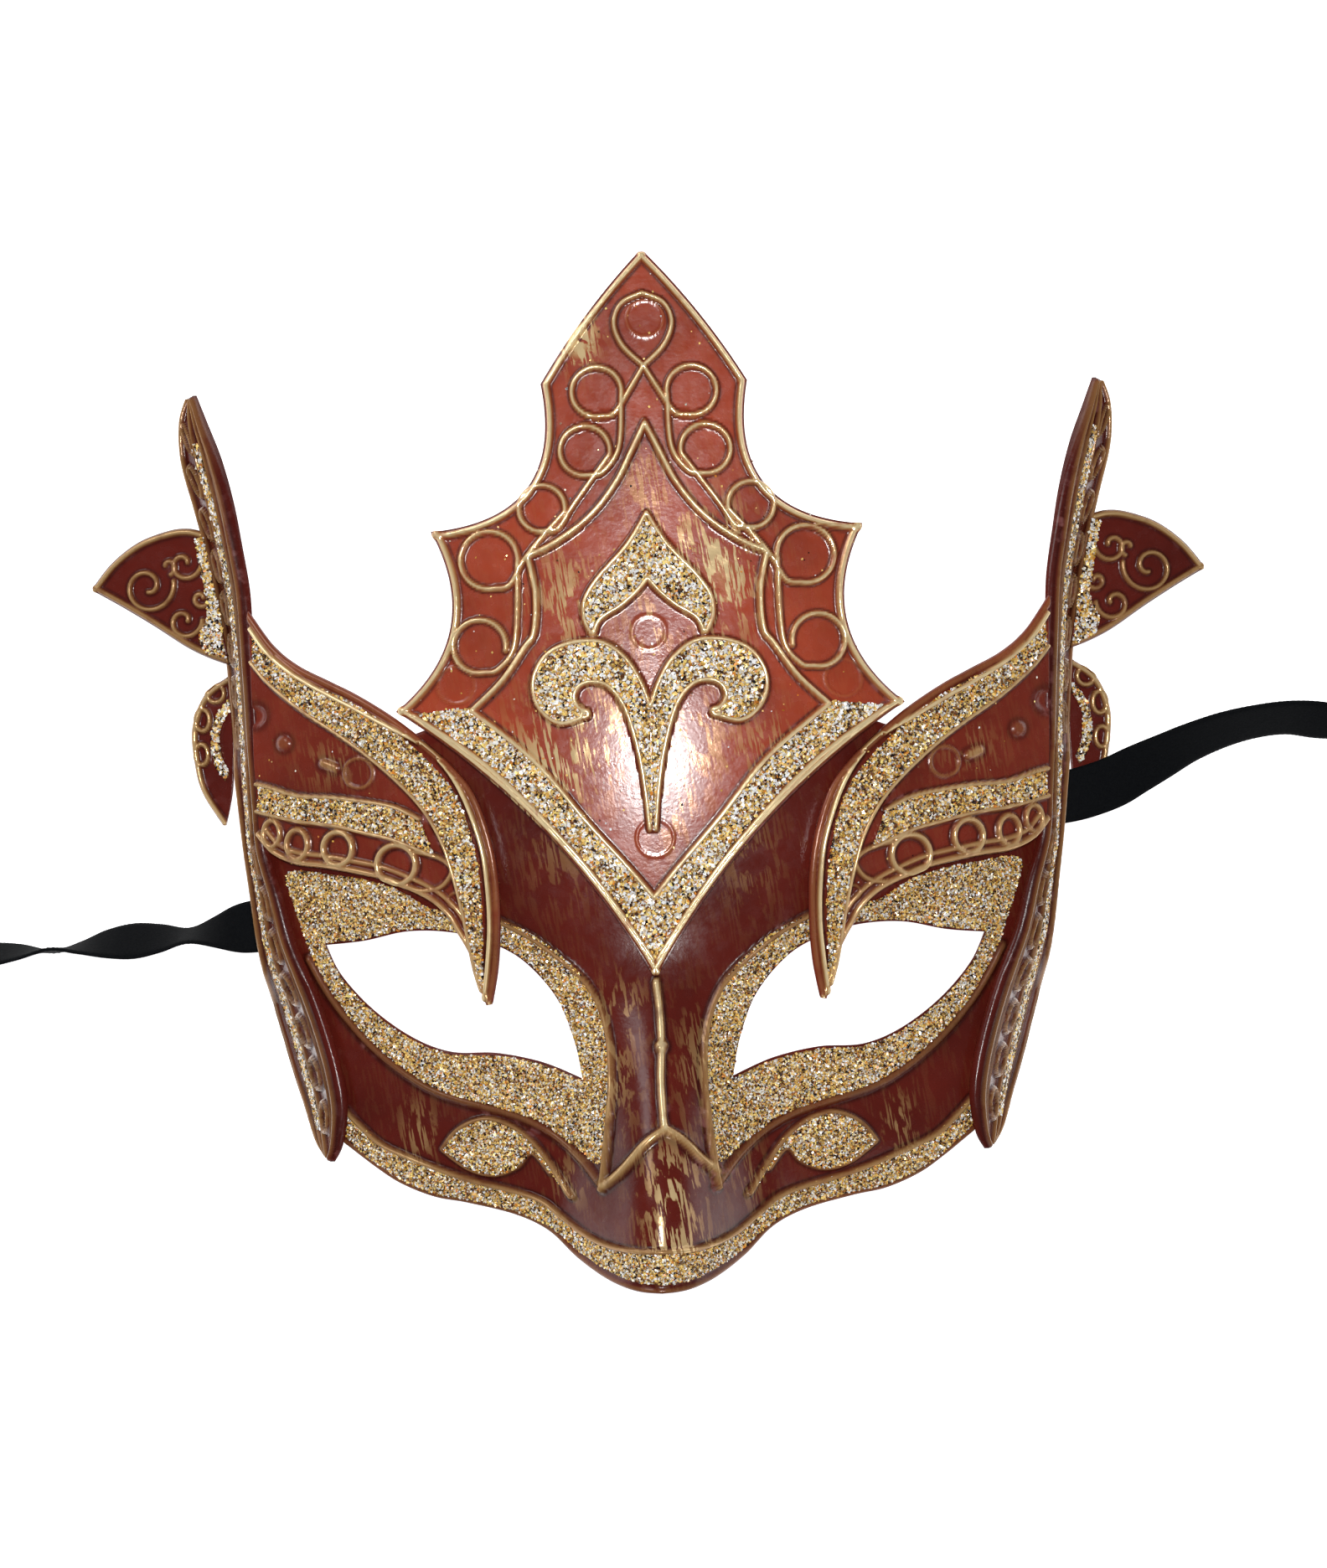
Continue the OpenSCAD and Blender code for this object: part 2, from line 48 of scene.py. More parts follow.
# Wall thicknesses and the like, in mm
WING_T = 2.8
CREST_WALL = 2.2
CREST_SWELL = 1.3    # the crest bulges this much in the middle, where the flash glares
FACE_WALL = 2.2
BLADE_WALL = 2.0
BLADE_LIP = 0.6      # at the blade's points
BLADE_THINNING = 0.18
BLADE_KNEE = 7.0     # height of the knee above the rim
KNEE_AT = 0.8        # place of the knee across the blade
KNEE_OUT = 0.6
FIN_WALL = 1.6
GLITTER_T = 0.5
COARSE, MEDIUM, FINE = 0.44, 0.39, 0.32    # glitter grains
SIDES = ((1, "right"), (-1, "left"))
rng = np.random.default_rng(7)


# ---------------------------------------------------------------- lines, in mm
def curve(points, k=8):
    """A smooth line through a few points, with k steps between each two."""
    p = np.array(points, float)
    p = np.vstack([p[:1], p, p[-1:]])
    t = (np.arange(k) / k)[:, None]
    out = [0.5 * (2 * b + (c - a) * t + (2 * a - 5 * b + 4 * c - d) * t ** 2
                  + (3 * b - a - 3 * c + d) * t ** 3)
           for a, b, c, d in zip(p[:-3], p[1:-2], p[2:-1], p[3:])]
    return np.vstack(out + [p[-2:-1]])


def cut(p, n):
    """The same line with n equal steps."""
    s = np.concatenate([[0], np.cumsum(np.linalg.norm(np.diff(p, axis=0), axis=1))])
    at = np.linspace(0, s[-1], n + 1)
    return np.stack([np.interp(at, s, p[:, k]) for k in range(p.shape[1])], 1)


def length(p):
    """The length of a line."""
    return float(np.linalg.norm(np.diff(p, axis=0), axis=1).sum())


def along(points, n):
    """A smooth line through a few points, cut into n even steps."""
    return cut(curve(points), n)


def bow(a, b, sag, n=40):
    """An arc from a to b that stands sag away from its chord."""
    a, b = np.array(a, float), np.array(b, float)
    d = b - a
    m = (a + b) / 2 + 2 * sag * np.array([-d[1], d[0]]) / np.linalg.norm(d)
    t = np.linspace(0, 1, n + 1)[:, None]
    return a * (1 - t) ** 2 + m * 2 * t * (1 - t) + b * t * t


def chain(*parts):
    """Lines that follow one another, joined where they meet."""
    return np.vstack([parts[0]] + [p[1:] for p in parts[1:]])


def both(p):
    """A half line that starts on the middle plane, and its mirror image, as one line."""
    return np.vstack([p[:0:-1] * [-1, 1], p])


def ring(x, y, rx, ry=None, turn=0.0, start=0.0, end=360.0):
    """An ellipse or part of one, by its centre, half axes and turn in degrees."""
    ry = ry or rx
    a = np.radians(np.linspace(start, end, 60))
    c, s = math.cos(math.radians(turn)), math.sin(math.radians(turn))
    u, v = rx * np.cos(a), ry * np.sin(a)
    return np.stack([x + u * c - v * s, y + u * s + v * c], 1)


def spiral(x, y, r0, r1, a0, a1):
    """A spiral about a point, its radius and angle (degrees) running from start to end."""
    a = np.radians(np.linspace(a0, a1, 90))
    r = np.linspace(r0, r1, 90)
    return np.stack([x + r * np.cos(a), y + r * np.sin(a)], 1)


def offset(p, d):
    """A line moved d to its left."""
    t = np.gradient(p, axis=0)
    n = np.stack([-t[:, 1], t[:, 0]], 1)
    return p + d * n / np.maximum(np.linalg.norm(n, axis=1), 1e-9)[:, None]


# ---------------------------------------------------------------- surfaces, in mm
def ease(t):
    """0 to 1 with a soft start and end."""
    c = np.clip(t, 0, 1)
    return c * c * (3 - 2 * c)


def bump(v, w):
    """A rounded hill of half width w, 1 at the middle."""
    return np.exp(-(v / w) ** 2)


def face_z(x, y):
    """Height of the face shell's front over a plan point. The other mouldings' heights follow."""
    t = np.clip((-26 - y) / 60, 0, 1)
    nose = 24 * ease(t) * bump(x, 8 + 7 * t)
    socket = 4 * bump(np.abs(x) - 36, 20) * bump(y + 38, 14)
    cheek = 2 * bump(np.abs(x) - 34, 15) * bump(y + 66, 10)
    return 52 - 0.0048 * x * x - 0.0012 * (y + 10) ** 2 + nose - socket + cheek


def crest_z(x, y):
    swell = CREST_SWELL * bump(y - 4, 26) * np.exp(-(x / 32) ** 4)
    return face_z(x, y) + GAP + CREST_WALL + 0.1 + 0.0006 * x * x + 0.0006 * np.maximum(0, y) ** 2 + swell


def wing_z(x, y):
    return face_z(x, y) + GAP + WING_T


FIN_ROOT, FIN_SLOPE = 76, 0.24     # the fins fall outwards from this x


def fan_z(x, y):
    return 9 - FIN_SLOPE * (np.abs(x) - FIN_ROOT)


def crescent_z(x, y):
    return 4.2 - FIN_SLOPE * (np.abs(x) - FIN_ROOT)


# [y, x of the inner edge, x of the outer edge, height of the lower rim]
BLADE_LINES = [
    [69.8, 81.2, 81.7, 11], [65, 79.8, 83.2, 9], [58, 77.4, 83, 6], [50, 75.2, 81.2, 3],
    [42, 73.6, 79.4, 0], [34, 72.2, 77.8, 0], [26, 71.6, 76.4, 0], [16, 71, 75.6, 0], [8, 70.6, 75, 1],
    [2, 70.2, 74.4, 8], [-4, 69.8, 73.8, 8.6], [-12, 69.2, 73, 8.6], [-20, 67, 72, 8.6],
    [-28, 65, 71, 8.6], [-34, 62.8, 70, 7], [-40, 60.6, 68.8, 0], [-46, 58.7, 67.2, 0],
    [-52, 57.2, 65.4, 2], [-58, 56.4, 63.2, 6], [-64, 56.9, 61, 11], [-67, 57.9, 59, 14]]
BLADE_ROWS = curve(BLADE_LINES, 16)
BLADE_ROWS[:, 3] = np.maximum(BLADE_ROWS[:, 3], 0)


def blade_row(y):
    """The blade at y: x of its inner and outer edges, and height of its lower rim."""
    return [np.interp(y, BLADE_ROWS[::-1, 0], BLADE_ROWS[::-1, k]) for k in (1, 2, 3)]


def blade_point(f, y):
    """The blade's outer face: f runs from its inner edge, 0, over the knee to the rim, 1."""
    inner, outer, rim = blade_row(y)
    top = wing_z(inner, y)
    knee = rim + np.minimum(BLADE_KNEE, (top - rim) / 2)
    g, h = np.clip(f / KNEE_AT, 0, 1), np.clip((f - KNEE_AT) / (1 - KNEE_AT), 0, 1)
    x = inner + (outer - inner) * g + KNEE_OUT * h
    return np.stack([x, y + 0 * f, top + (knee - top) * g + (rim - knee) * h], -1)


def blade_width(y):
    """Length across the blade's outer face."""
    inner, outer, rim = blade_row(y)
    return np.hypot(outer - inner, wing_z(inner, y) - rim) + 0.5


def plan(z_of):
    """A surface seen from above, as a function of plan points."""
    return lambda p: np.concatenate([p, z_of(p[..., 0], p[..., 1])[..., None]], -1)


def on_blade(p):
    return blade_point(p[..., 0], p[..., 1])


# ---------------------------------------------------------------- relief
def find(points, targets):
    """Distance from each point to the nearest target, and which it is."""
    tree = KDTree(len(targets))
    for i, q in enumerate(targets.tolist()):
        tree.insert((q[0], q[1], 0), i)
    tree.balance()
    found = [tree.find((x, y, 0))[1:] for x, y in points.tolist()]
    a = np.array(found)
    return a[:, 1], a[:, 0].astype(int)


STEP = 0.2     # mm between the points that stand for a stroke's line


def relief(flat, strokes):
    """Lift, gold and painted bead-side shade of each plan point, from strokes [(line, half width, height,
    gold)].
    """
    lines, facts = [], []
    for p, half, high, gold in strokes:
        q = cut(p, max(4, int(length(p) / STEP)))
        lines.append(q)
        facts += [[half, high, gold]] * len(q)
    d, i = find(flat.reshape(-1, 2), np.vstack(lines))
    half, high, gold = np.array(facts)[i].T
    t = d / half
    lift = high * np.clip(1 - t * t, 0, 1) ** 0.8
    shine = gold * ease((1.0 - t) / 0.7)
    # Painted shade: a dark band just outside each bead's edge, deeper for taller strokes
    crevice_shade = np.exp(-((t - 1.35) / 0.45) ** 2) * np.clip(np.abs(high), 0, 1)
    return [a.reshape(flat.shape[:-1]) for a in (lift, shine, crevice_shade)]


def layers(flat, groups):
    """Several groups of strokes laid over one another."""
    lift = gold = crevice_shade = np.zeros(flat.shape[:-1])
    for strokes in groups:
        a, b, c = relief(flat, strokes)
        lift = np.where(np.abs(a) > np.abs(lift), a, lift)
        gold = np.maximum(gold, b)
        crevice_shade = np.maximum(crevice_shade, c)
    return lift, gold, crevice_shade * (1 - np.clip(gold, 0, 1))


# ---------------------------------------------------------------- meshes
def to_row(points, side=1):
    """Drawing points in mm to the row's frame in metres, mirrored for the left side."""
    return (np.array(points, float).reshape(-1, 3) * [side, 1, 1] - [0, CENTRE_Y, 0]) * MM


def put_in(name, data):
    """A new object in the scene."""
    thing = bpy.data.objects.new(name, data)
    bpy.context.scene.collection.objects.link(thing)
    return thing


def add_piece(name, verts, faces, material, attrs=None, smooth=True, nodes=()):
    """A mesh piece that rides on the mask, with its point attributes."""
    mesh = bpy.data.meshes.new(name)
    faces = np.asarray(faces)
    mesh.vertices.add(len(verts))
    mesh.vertices.foreach_set("co", np.asarray(verts, np.float32).ravel())
    mesh.loops.add(faces.size)
    mesh.loops.foreach_set("vertex_index", faces.ravel().astype(np.int32))
    mesh.polygons.add(len(faces))
    mesh.polygons.foreach_set("loop_start", np.arange(0, faces.size, faces.shape[1], dtype=np.int32))
    mesh.polygons.foreach_set("use_smooth", np.full(len(faces), smooth))
    mesh.update(calc_edges=True)
    for key, values in (attrs or {}).items():
        values = np.asarray(values, np.float32)
        colour = values.ndim == 2
        layer = mesh.attributes.new(key, "FLOAT_COLOR" if colour else "FLOAT", "POINT")
        layer.data.foreach_set("color" if colour else "value", values.ravel())
    mesh.materials.append(material)
    piece = put_in(name, mesh)
    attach(piece, "root")
    if nodes:
        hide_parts(*nodes)
    return piece


def grid_faces(r, c, wrap=False):
    """Faces between r rows of c points."""
    i, j = np.meshgrid(np.arange(r - 1), np.arange(c if wrap else c - 1), indexing="ij")
    i, j = i.ravel(), j.ravel()
    k = (j + 1) % c
    return np.stack([i * c + j, i * c + k, (i + 1) * c + k, (i + 1) * c + j], 1)


def walls(a, b):
    """Faces between two rows of points."""
    return np.stack([a[:-1], b[:-1], b[1:], a[1:]], 1)


def sheet_faces(r, c, wrap=False):
    """Faces of a sheet of r by c points, its upper side first, and the walls round it."""
    n = r * c
    skin = grid_faces(r, c, wrap)
    row0 = np.arange(c + (1 if wrap else 0)) % c
    row1 = (r - 1) * c + row0
    parts = [skin, skin[:, ::-1] + n, walls(row0, row0 + n), walls(row1, row1 + n)[:, ::-1]]
    if not wrap:
        col0 = np.arange(r) * c
        parts += [walls(col0, col0 + n)[:, ::-1], walls(col0 + c - 1, col0 + c - 1 + n)]
    return np.vstack(parts)


def turn_out(verts, faces):
    """Faces turned so that the closed solid's volume is positive."""
    a, b, c = (verts[faces[:, k]] for k in (0, 1, 2))
    d = verts[faces[:, 3]]
    volume = (a * np.cross(b, c)).sum() + (a * np.cross(c, d)).sum()
    return faces if volume > 0 else faces[:, ::-1]


def normals(grid):
    """Unit normals of a grid of points, all on the side that faces up or out."""
    u, v = np.gradient(grid, axis=0), np.gradient(grid, axis=1)
    n = np.cross(u, v)
    n /= np.maximum(np.linalg.norm(n, axis=-1, keepdims=True), 1e-9)
    return n * np.sign(np.median(n[..., 2] + 0.3 * n[..., 0]))


def wear_and_shade(gold, crevice_shade, rub):
    """The point attributes that the plastics read: gold wax, rub and painted shade beside the beads. A
    moulding's back has none of them.
    """
    back = np.zeros(gold.size)
    return {key: np.r_[values.ravel(), back]
            for key, values in (("gold", gold), ("crevice_shade", crevice_shade), ("rub", rub))}


def moulding(name, flat, surface, under, groups, material, node, side=1, metric=None, extra=None):
    """A closed plastic moulding: plan points on a surface, lifted by the relief of its strokes."""
    lift, gold, crevice_shade = layers(flat if metric is None else metric(flat), groups)
    base = surface(flat)
    top = base + normals(base) * lift[..., None]
    low = base + under(base)
    verts = np.vstack([to_row(top, side), to_row(low, side)])
    faces = turn_out(verts, sheet_faces(*flat.shape[:2]))
    rub = extra(flat) if extra else np.zeros(gold.shape)
    add_piece(name, verts, faces, material, wear_and_shade(gold, crevice_shade, rub), nodes=[node])


def below(wall):
    """The back of a moulding of even thickness, as an offset from its face."""
    return lambda base: np.array([0, 0, -wall])


def rule(a, b, n):
    """A grid of plan points between two lines with the same number of points."""
    t = np.linspace(0, 1, n + 1)[:, None, None]
    return a[None] * (1 - t) + b[None] * t


# ---------------------------------------------------------------- materials
class Nodes:
    """Short names for the shader nodes that the materials share."""

    def __init__(self, name):
        self.material = bpy.data.materials.new(name)
        self.material.use_nodes = True
        self.tree = self.material.node_tree
        self.bsdf = self.tree.nodes["Principled BSDF"]

    def node(self, kind, **values):
        n = self.tree.nodes.new("ShaderNode" + kind)
        for key, value in values.items():
            setattr(n, key, value)
        return n

    def link(self, source, target):
        self.tree.links.new(source, target)

    def put(self, socket, value):
        if isinstance(value, bpy.types.NodeSocket):
            self.link(value, socket)
        elif isinstance(value, (tuple, list)) and len(value) == 3 and socket.type == "RGBA":
            socket.default_value = (*value, 1)
        else:
            socket.default_value = value

    def maths(self, operation, a, b=0.0):
        n = self.node("Math", operation=operation)
        n.use_clamp = operation in ("ADD", "MULTIPLY", "SUBTRACT")
        self.put(n.inputs[0], a)
        self.put(n.inputs[1], b)
        return n.outputs[0]

    def attribute(self, name, colour=False):
        n = self.node("Attribute", attribute_name=name)
        return n.outputs["Color" if colour else "Fac"]

    def coords(self, stretch=(1, 1, 1), turn=0.0):
        n = self.node("TexCoord")
        m = self.node("Mapping", vector_type="TEXTURE")
        m.inputs["Rotation"].default_value = (0, 0, math.radians(turn))
        m.inputs["Scale"].default_value = [1 / s for s in stretch]
        self.link(n.outputs["Object"], m.inputs["Vector"])
        return m.outputs["Vector"]

    def noise(self, scale, detail=3.0, stretch=(1, 1, 1), low=0.0, high=1.0, turn=0.0):
        """Noise stretched so that low becomes 0 and high becomes 1, its axes turned by some degrees."""
        n = self.node("TexNoise")
        n.inputs["Scale"].default_value = scale
        n.inputs["Detail"].default_value = detail
        self.link(self.coords(stretch, turn), n.inputs["Vector"])
        r = self.node("MapRange")
        r.inputs["From Min"].default_value = low
        r.inputs["From Max"].default_value = high
        self.link(n.outputs["Fac"], r.inputs["Value"])
        return r.outputs["Result"]

    def cells(self, scale):
        n = self.node("TexVoronoi")
        n.inputs["Scale"].default_value = scale
        self.link(self.coords(), n.inputs["Vector"])
        return n

    def mix(self, factor, a, b):
        n = self.node("Mix", data_type="RGBA")
        self.put(n.inputs["Factor"], factor)
        self.put(n.inputs[6], a)       # A and B of the colour mix
        self.put(n.inputs[7], b)
        return n.outputs[2]

    def bump(self, height, strength, distance):
        n = self.node("Bump")
        n.inputs["Strength"].default_value = strength
        n.inputs["Distance"].default_value = distance
        self.link(height, n.inputs["Height"])
        self.link(n.outputs["Normal"], self.bsdf.inputs["Normal"])

    def set(self, **values):
        for key, value in values.items():
            self.put(self.bsdf.inputs[key.replace("_", " ")], value)


GOLD = (0.62, 0.36, 0.12)
SHADE = (0.025, 0.004, 0.003)
# Pale gold: a painted highlight on the bead crowns, and the brushed rub's own colour
HIGHLIGHT_AND_PALE_GOLD = (1.0, 0.78, 0.44)


def rubbed_plastic(name, base, deep, scuff, shine):
    """Satin plastic with painted shade beside its beads and painted highlights on their crowns; gold wax is
    left on the beads and in brushed streaks.
    """
    m = Nodes(name)
    crevice_shade, gold, rub = m.attribute("crevice_shade"), m.attribute("gold"), m.attribute("rub")
    blotch = m.noise(60, 4, low=0.35, high=0.7)
    colour = m.mix(m.maths("MULTIPLY", blotch, 0.5), base, deep)
    # Painted shade: the colour darkens towards SHADE beside the beads
    colour = m.mix(m.maths("MULTIPLY", crevice_shade, 0.85), colour, SHADE)
    scuffed = m.maths("MULTIPLY", m.noise(420, 5, low=0.52, high=0.62), m.noise(45, 2, low=0.5, high=0.68))
    near = m.maths("ADD", m.maths("MULTIPLY", crevice_shade, 0.45), 0.04)
    colour = m.mix(m.maths("MULTIPLY", scuffed, near), colour, scuff)
    worn = m.noise(300, 4, low=0.22, high=0.55)
    bead = m.maths("MULTIPLY", gold, m.maths("ADD", worn, 0.3))
    streak = m.noise(2200, 3, stretch=(1, 0.08, 0.3), low=0.48, high=0.51, turn=9)
    broken = m.noise(380, 5, stretch=(1, 0.5, 1), low=0.45, high=0.5, turn=22)
    rubbed = m.maths("MULTIPLY", m.maths("MULTIPLY", streak, broken), rub)
    solid = m.maths("MULTIPLY", m.maths("SUBTRACT", rub, 1.0), m.noise(700, 4, low=0.36, high=0.44))
    brushed = m.maths("ADD", rubbed, solid)
    wax = m.maths("ADD", bead, brushed)
    # Painted highlight: the bead crowns (gold cubed) are lightened towards pale gold; the brushed rub takes
    # pale gold as its own colour
    crown_highlight_and_pale_rub = m.maths("ADD", m.maths("POWER", gold, 3.0), m.maths("MULTIPLY", brushed, 0.7))
    m.set(Base_Color=m.mix(wax, colour, m.mix(crown_highlight_and_pale_rub, GOLD, HIGHLIGHT_AND_PALE_GOLD)), Metallic=m.maths("MULTIPLY", wax, 0.45))
    rough = m.maths("ADD", m.noise(500, 4, low=0.2, high=3.2), 0.15)
    m.set(Roughness=m.maths("SUBTRACT", rough, m.maths("MULTIPLY", wax, 0.08)), Specular_IOR_Level=shine)
    m.bump(m.noise(1500, 4), 0.08, 0.0004)
    return m.material


def flake_material(name):
    """Foil flakes that each have a colour of their own; the pure white ones are painted sparkle."""
    m = Nodes(name)
    m.set(Base_Color=m.attribute("tint", True), Metallic=0.1, Roughness=0.25)
    m.bump(m.noise(5000, 2), 0.15, 0.0001)
    return m.material


def bed_material(name):
    """The glue and the buried grains under the loose flakes."""
    m = Nodes(name)
    cells = m.cells(2400)
    ramp = m.node("ValToRGB")
    ramp.color_ramp.interpolation = "CONSTANT"
    elements = ramp.color_ramp.elements
    elements.remove(elements[1])
    elements[0].color = (0.05, 0.02, 0.012, 1)
    for place, tint in ((0.3, (0.3, 0.16, 0.06)), (0.55, (0.5, 0.34, 0.14)), (0.8, (0.62, 0.56, 0.46)),
                        (0.92, (0.36, 0.13, 0.04))):
        elements.new(place).color = (*tint, 1)
    split = m.node("SeparateColor")
    m.link(cells.outputs["Color"], split.inputs[0])
    m.link(split.outputs[0], ramp.inputs["Fac"])
    m.set(Base_Color=ramp.outputs["Color"], Metallic=0.6, Roughness=0.4)
    m.bump(cells.outputs["Distance"], 0.8, 0.0003)
    return m.material


def plain_material(name, colour, rough, grain, depth):
    m = Nodes(name)
    n = m.noise(grain, 4)
    m.set(Base_Color=m.mix(n, colour, tuple(c * 0.6 for c in colour)), Roughness=rough)
    m.bump(n, 0.5, depth)
    return m.material


def cloth_material(name):
    """Black cloth with a fine fibre grain. The ribs are in the ribbon's mesh."""
    m = Nodes(name)
    fibre = m.noise(2600, 4)
    m.set(Base_Color=m.mix(fibre, (0.002, 0.0022, 0.003), (0.007, 0.008, 0.009)), Roughness=0.75,
          Specular_IOR_Level=0.04)
    m.bump(fibre, 0.4, 0.0002)
    return m.material


# Base, deep and scuff colours, then how strongly the plastic shines
MAROON = rubbed_plastic("maroon_plastic_look", (0.115, 0.012, 0.007), (0.035, 0.004, 0.003),
                        (0.5, 0.2, 0.19), 0.3)
RED_BROWN = rubbed_plastic("crest_plastic_look", (0.37, 0.052, 0.019), (0.11, 0.013, 0.007),
                           (0.5, 0.2, 0.19), 0.62)
RED = rubbed_plastic("wing_plastic_look", (0.2, 0.026, 0.013), (0.05, 0.006, 0.004),
                     (0.55, 0.22, 0.21), 0.35)
FLAKE = flake_material("flake_look")
BED = bed_material("glitter_bed_look")
CLOTH = cloth_material("ribbon_look")
GLUE = plain_material("glue_look", (0.6, 0.56, 0.5), 0.35, 400, 0.0004)


# ---------------------------------------------------------------- camera, lights, floor
EYE = (2.0, -1.77, 900.0)    # mm, in the drawing
ROLL = 1.17                  # degrees
FOCAL = 5870 / 1872 * 36     # mm on a 36 mm sensor along the long side


def make_camera():
    data = bpy.data.cameras.new("camera")
    data.lens, data.sensor_width, data.sensor_fit = FOCAL, 36, "AUTO"
    camera = put_in("camera", data)
    camera.location = to_row([EYE])[0]
    camera.rotation_euler = (0, 0, -math.radians(ROLL))
    bpy.context.scene.camera = camera


def area_light(name, place, size, power, aim=(0, 0, 0.03)):
    data = bpy.data.lights.new(name, "AREA")
    data.shape, data.size, data.energy = "DISK", size, power
    lamp = put_in(name, data)
    lamp.location = place
    lamp.rotation_euler = (Vector(place) - Vector(aim)).to_track_quat("Z", "Y").to_euler()


FLOOR = 3.0                  # m, half the floor's side


def make_stage():
    mesh = bpy.data.meshes.new("floor")
    corners = [(FLOOR * i, FLOOR * j, 0) for i, j in ((-1, -1), (1, -1), (1, 1), (-1, 1))]
    mesh.from_pydata(corners, [], [(0, 1, 2, 3)])
    floor = put_in("floor", mesh)
    m = Nodes("floor_look")
    m.set(Base_Color=(0.9, 0.9, 0.9), Roughness=0.9, Emission_Color=(1, 1, 1), Emission_Strength=1.0)
    mesh.materials.append(m.material)
    area_light("flash", (0.01, 0.05, 1.0), 0.12, 7.0)
    area_light("softbox", (-0.75, 0.7, 0.7), 0.5, 3.2)
    area_light("fill", (0.85, -0.6, 0.6), 0.5, 0.8)
    world = bpy.data.worlds.new("studio")
    world.use_nodes = True
    background = world.node_tree.nodes["Background"]
    background.inputs["Color"].default_value = (0.9, 0.92, 1.0, 1)
    background.inputs["Strength"].default_value = 0.1
    bpy.context.scene.world = world
    bpy.context.scene.view_settings.view_transform = "Standard"


make_camera()
make_stage()

# ---------------------------------------------------------------- ribbons
RIBBON_W, RIBBON_T = 9.5, 0.8
RIB_DEPTH = 0.12           # share of the thickness
RIBBON_COLS = 15           # points across
EDGE_Z = 4.9               # height of its middle where the ribbon stands on edge
ROLL_OUTER, ROLL_STEP, ROLL_TURNS, ROLL_POINTS = 26.4, 4.2, 1.8, 260
# [x, y, z, turn about the run]: 0 lies flat, 90 stands on edge
ROUTE_RIGHT = [
    [66, -6, 6.4, 0], [71, -6, 6.4, 0], [76, -5.4, 6.4, 0], [80, -4.4, 6, 5], [84, -3, 5, 10],
    [88, -1, 4, 20], [93, 1.4, 3.8, 32], [98, 3.8, 4, 42], [104, 6, 4.3, 48], [110, 7.4, 4.5, 52],
    [116, 8, 4.6, 52], [122, 7.4, 4.4, 48], [128, 6.5, 4.6, 60], [134, 5.8, 4.8, 80],
    [141, 5.2, EDGE_Z, 90], [147, 4.9, EDGE_Z, 90]]
ROUTE_LEFT = [
    [-66, -26, 6.4, 0], [-71, -26, 6.4, 0], [-75, -26.4, 6, 20], [-80, -27, 5.4, 55], [-85, -27.6, 5, 75],
    [-90, -28, 4.6, 60], [-95, -28.4, 4.4, 50], [-100, -28.8, 4.6, 60], [-105, -29.4, 4.9, 80],
    [-110, -29.8, 4.9, 95], [-116, -30, 4.9, 75], [-122, -30.4, 4.8, 66], [-128, -30.6, 4.9, 78],
    [-133, -30.8, 4.9, 86], [-138, -31, EDGE_Z, 90], [-144, -31.3, EDGE_Z, 90]]
ROLL_RIGHT, ROLL_LEFT = (152, -21.6), (-149, -58)


def ribbon_path(route, centre, sense):
    """The seen route, then the unseen length rolled up on its edge: [x, y, z, turn]."""
    a = math.pi / 2 + sense * np.linspace(0, 2 * math.pi * ROLL_TURNS, ROLL_POINTS)
    r = ROLL_OUTER - ROLL_STEP * ROLL_TURNS * np.linspace(0, 1, ROLL_POINTS)
    x, y = centre[0] + r * np.cos(a), centre[1] + r * np.sin(a)
    rolled = np.stack([x, y, 0 * a + EDGE_Z, 0 * a + 90], 1)
    return cut(np.vstack([curve(route), rolled]), 700)


def ribbon(name, route, centre, sense, nodes):
    """A flat ribbon, thinner at every second row of points, which makes its ribs."""
    path = ribbon_path(route, centre, sense)
    n = len(path)
    d = np.gradient(path[:, :2], axis=0)
    d /= np.linalg.norm(d, axis=1, keepdims=True)
    across = np.stack([-d[:, 1], d[:, 0]], 1)
    a = np.radians(path[:, 3])
    u = np.linspace(-0.5, 0.5, RIBBON_COLS)
    ribbed = 0.5 - RIB_DEPTH * (np.arange(n) % 2)
    thin = RIBBON_T * ribbed[:, None] * np.clip((0.5 - np.abs(u)) / 0.04, 0.45, 1)
    wide = u[None] * RIBBON_W
    loops = []
    for sign, order in ((1, 1), (-1, -1)):
        w, t = wide[:, ::order], sign * thin[:, ::order]
        h = w * np.cos(a)[:, None] - t * np.sin(a)[:, None]
        v = w * np.sin(a)[:, None] + t * np.cos(a)[:, None]
        loops.append(np.stack([path[:, :1] + across[:, :1] * h, path[:, 1:2] + across[:, 1:] * h,
                               path[:, 2:3] + v], -1))
    grid = np.concatenate(loops, 1)
    c = grid.shape[1]
    faces = grid_faces(n, c, wrap=True)
    ends = [[k * c + i, k * c + i + 1, k * c + c - 2 - i, k * c + c - 1 - i]
            for k in (0, n - 1) for i in range(RIBBON_COLS - 1)]
    verts = to_row(grid)
    faces = np.vstack([faces, ends])
    piece = add_piece(name, verts, turn_out(verts, faces), CLOTH, nodes=nodes)


ribbon("tie_right", ROUTE_RIGHT, ROLL_RIGHT, -1, ["ribbon_right", "ribbon_coil_right"])
ribbon("tie_left", ROUTE_LEFT, ROLL_LEFT, 1, ["ribbon_left", "ribbon_coil_left"])


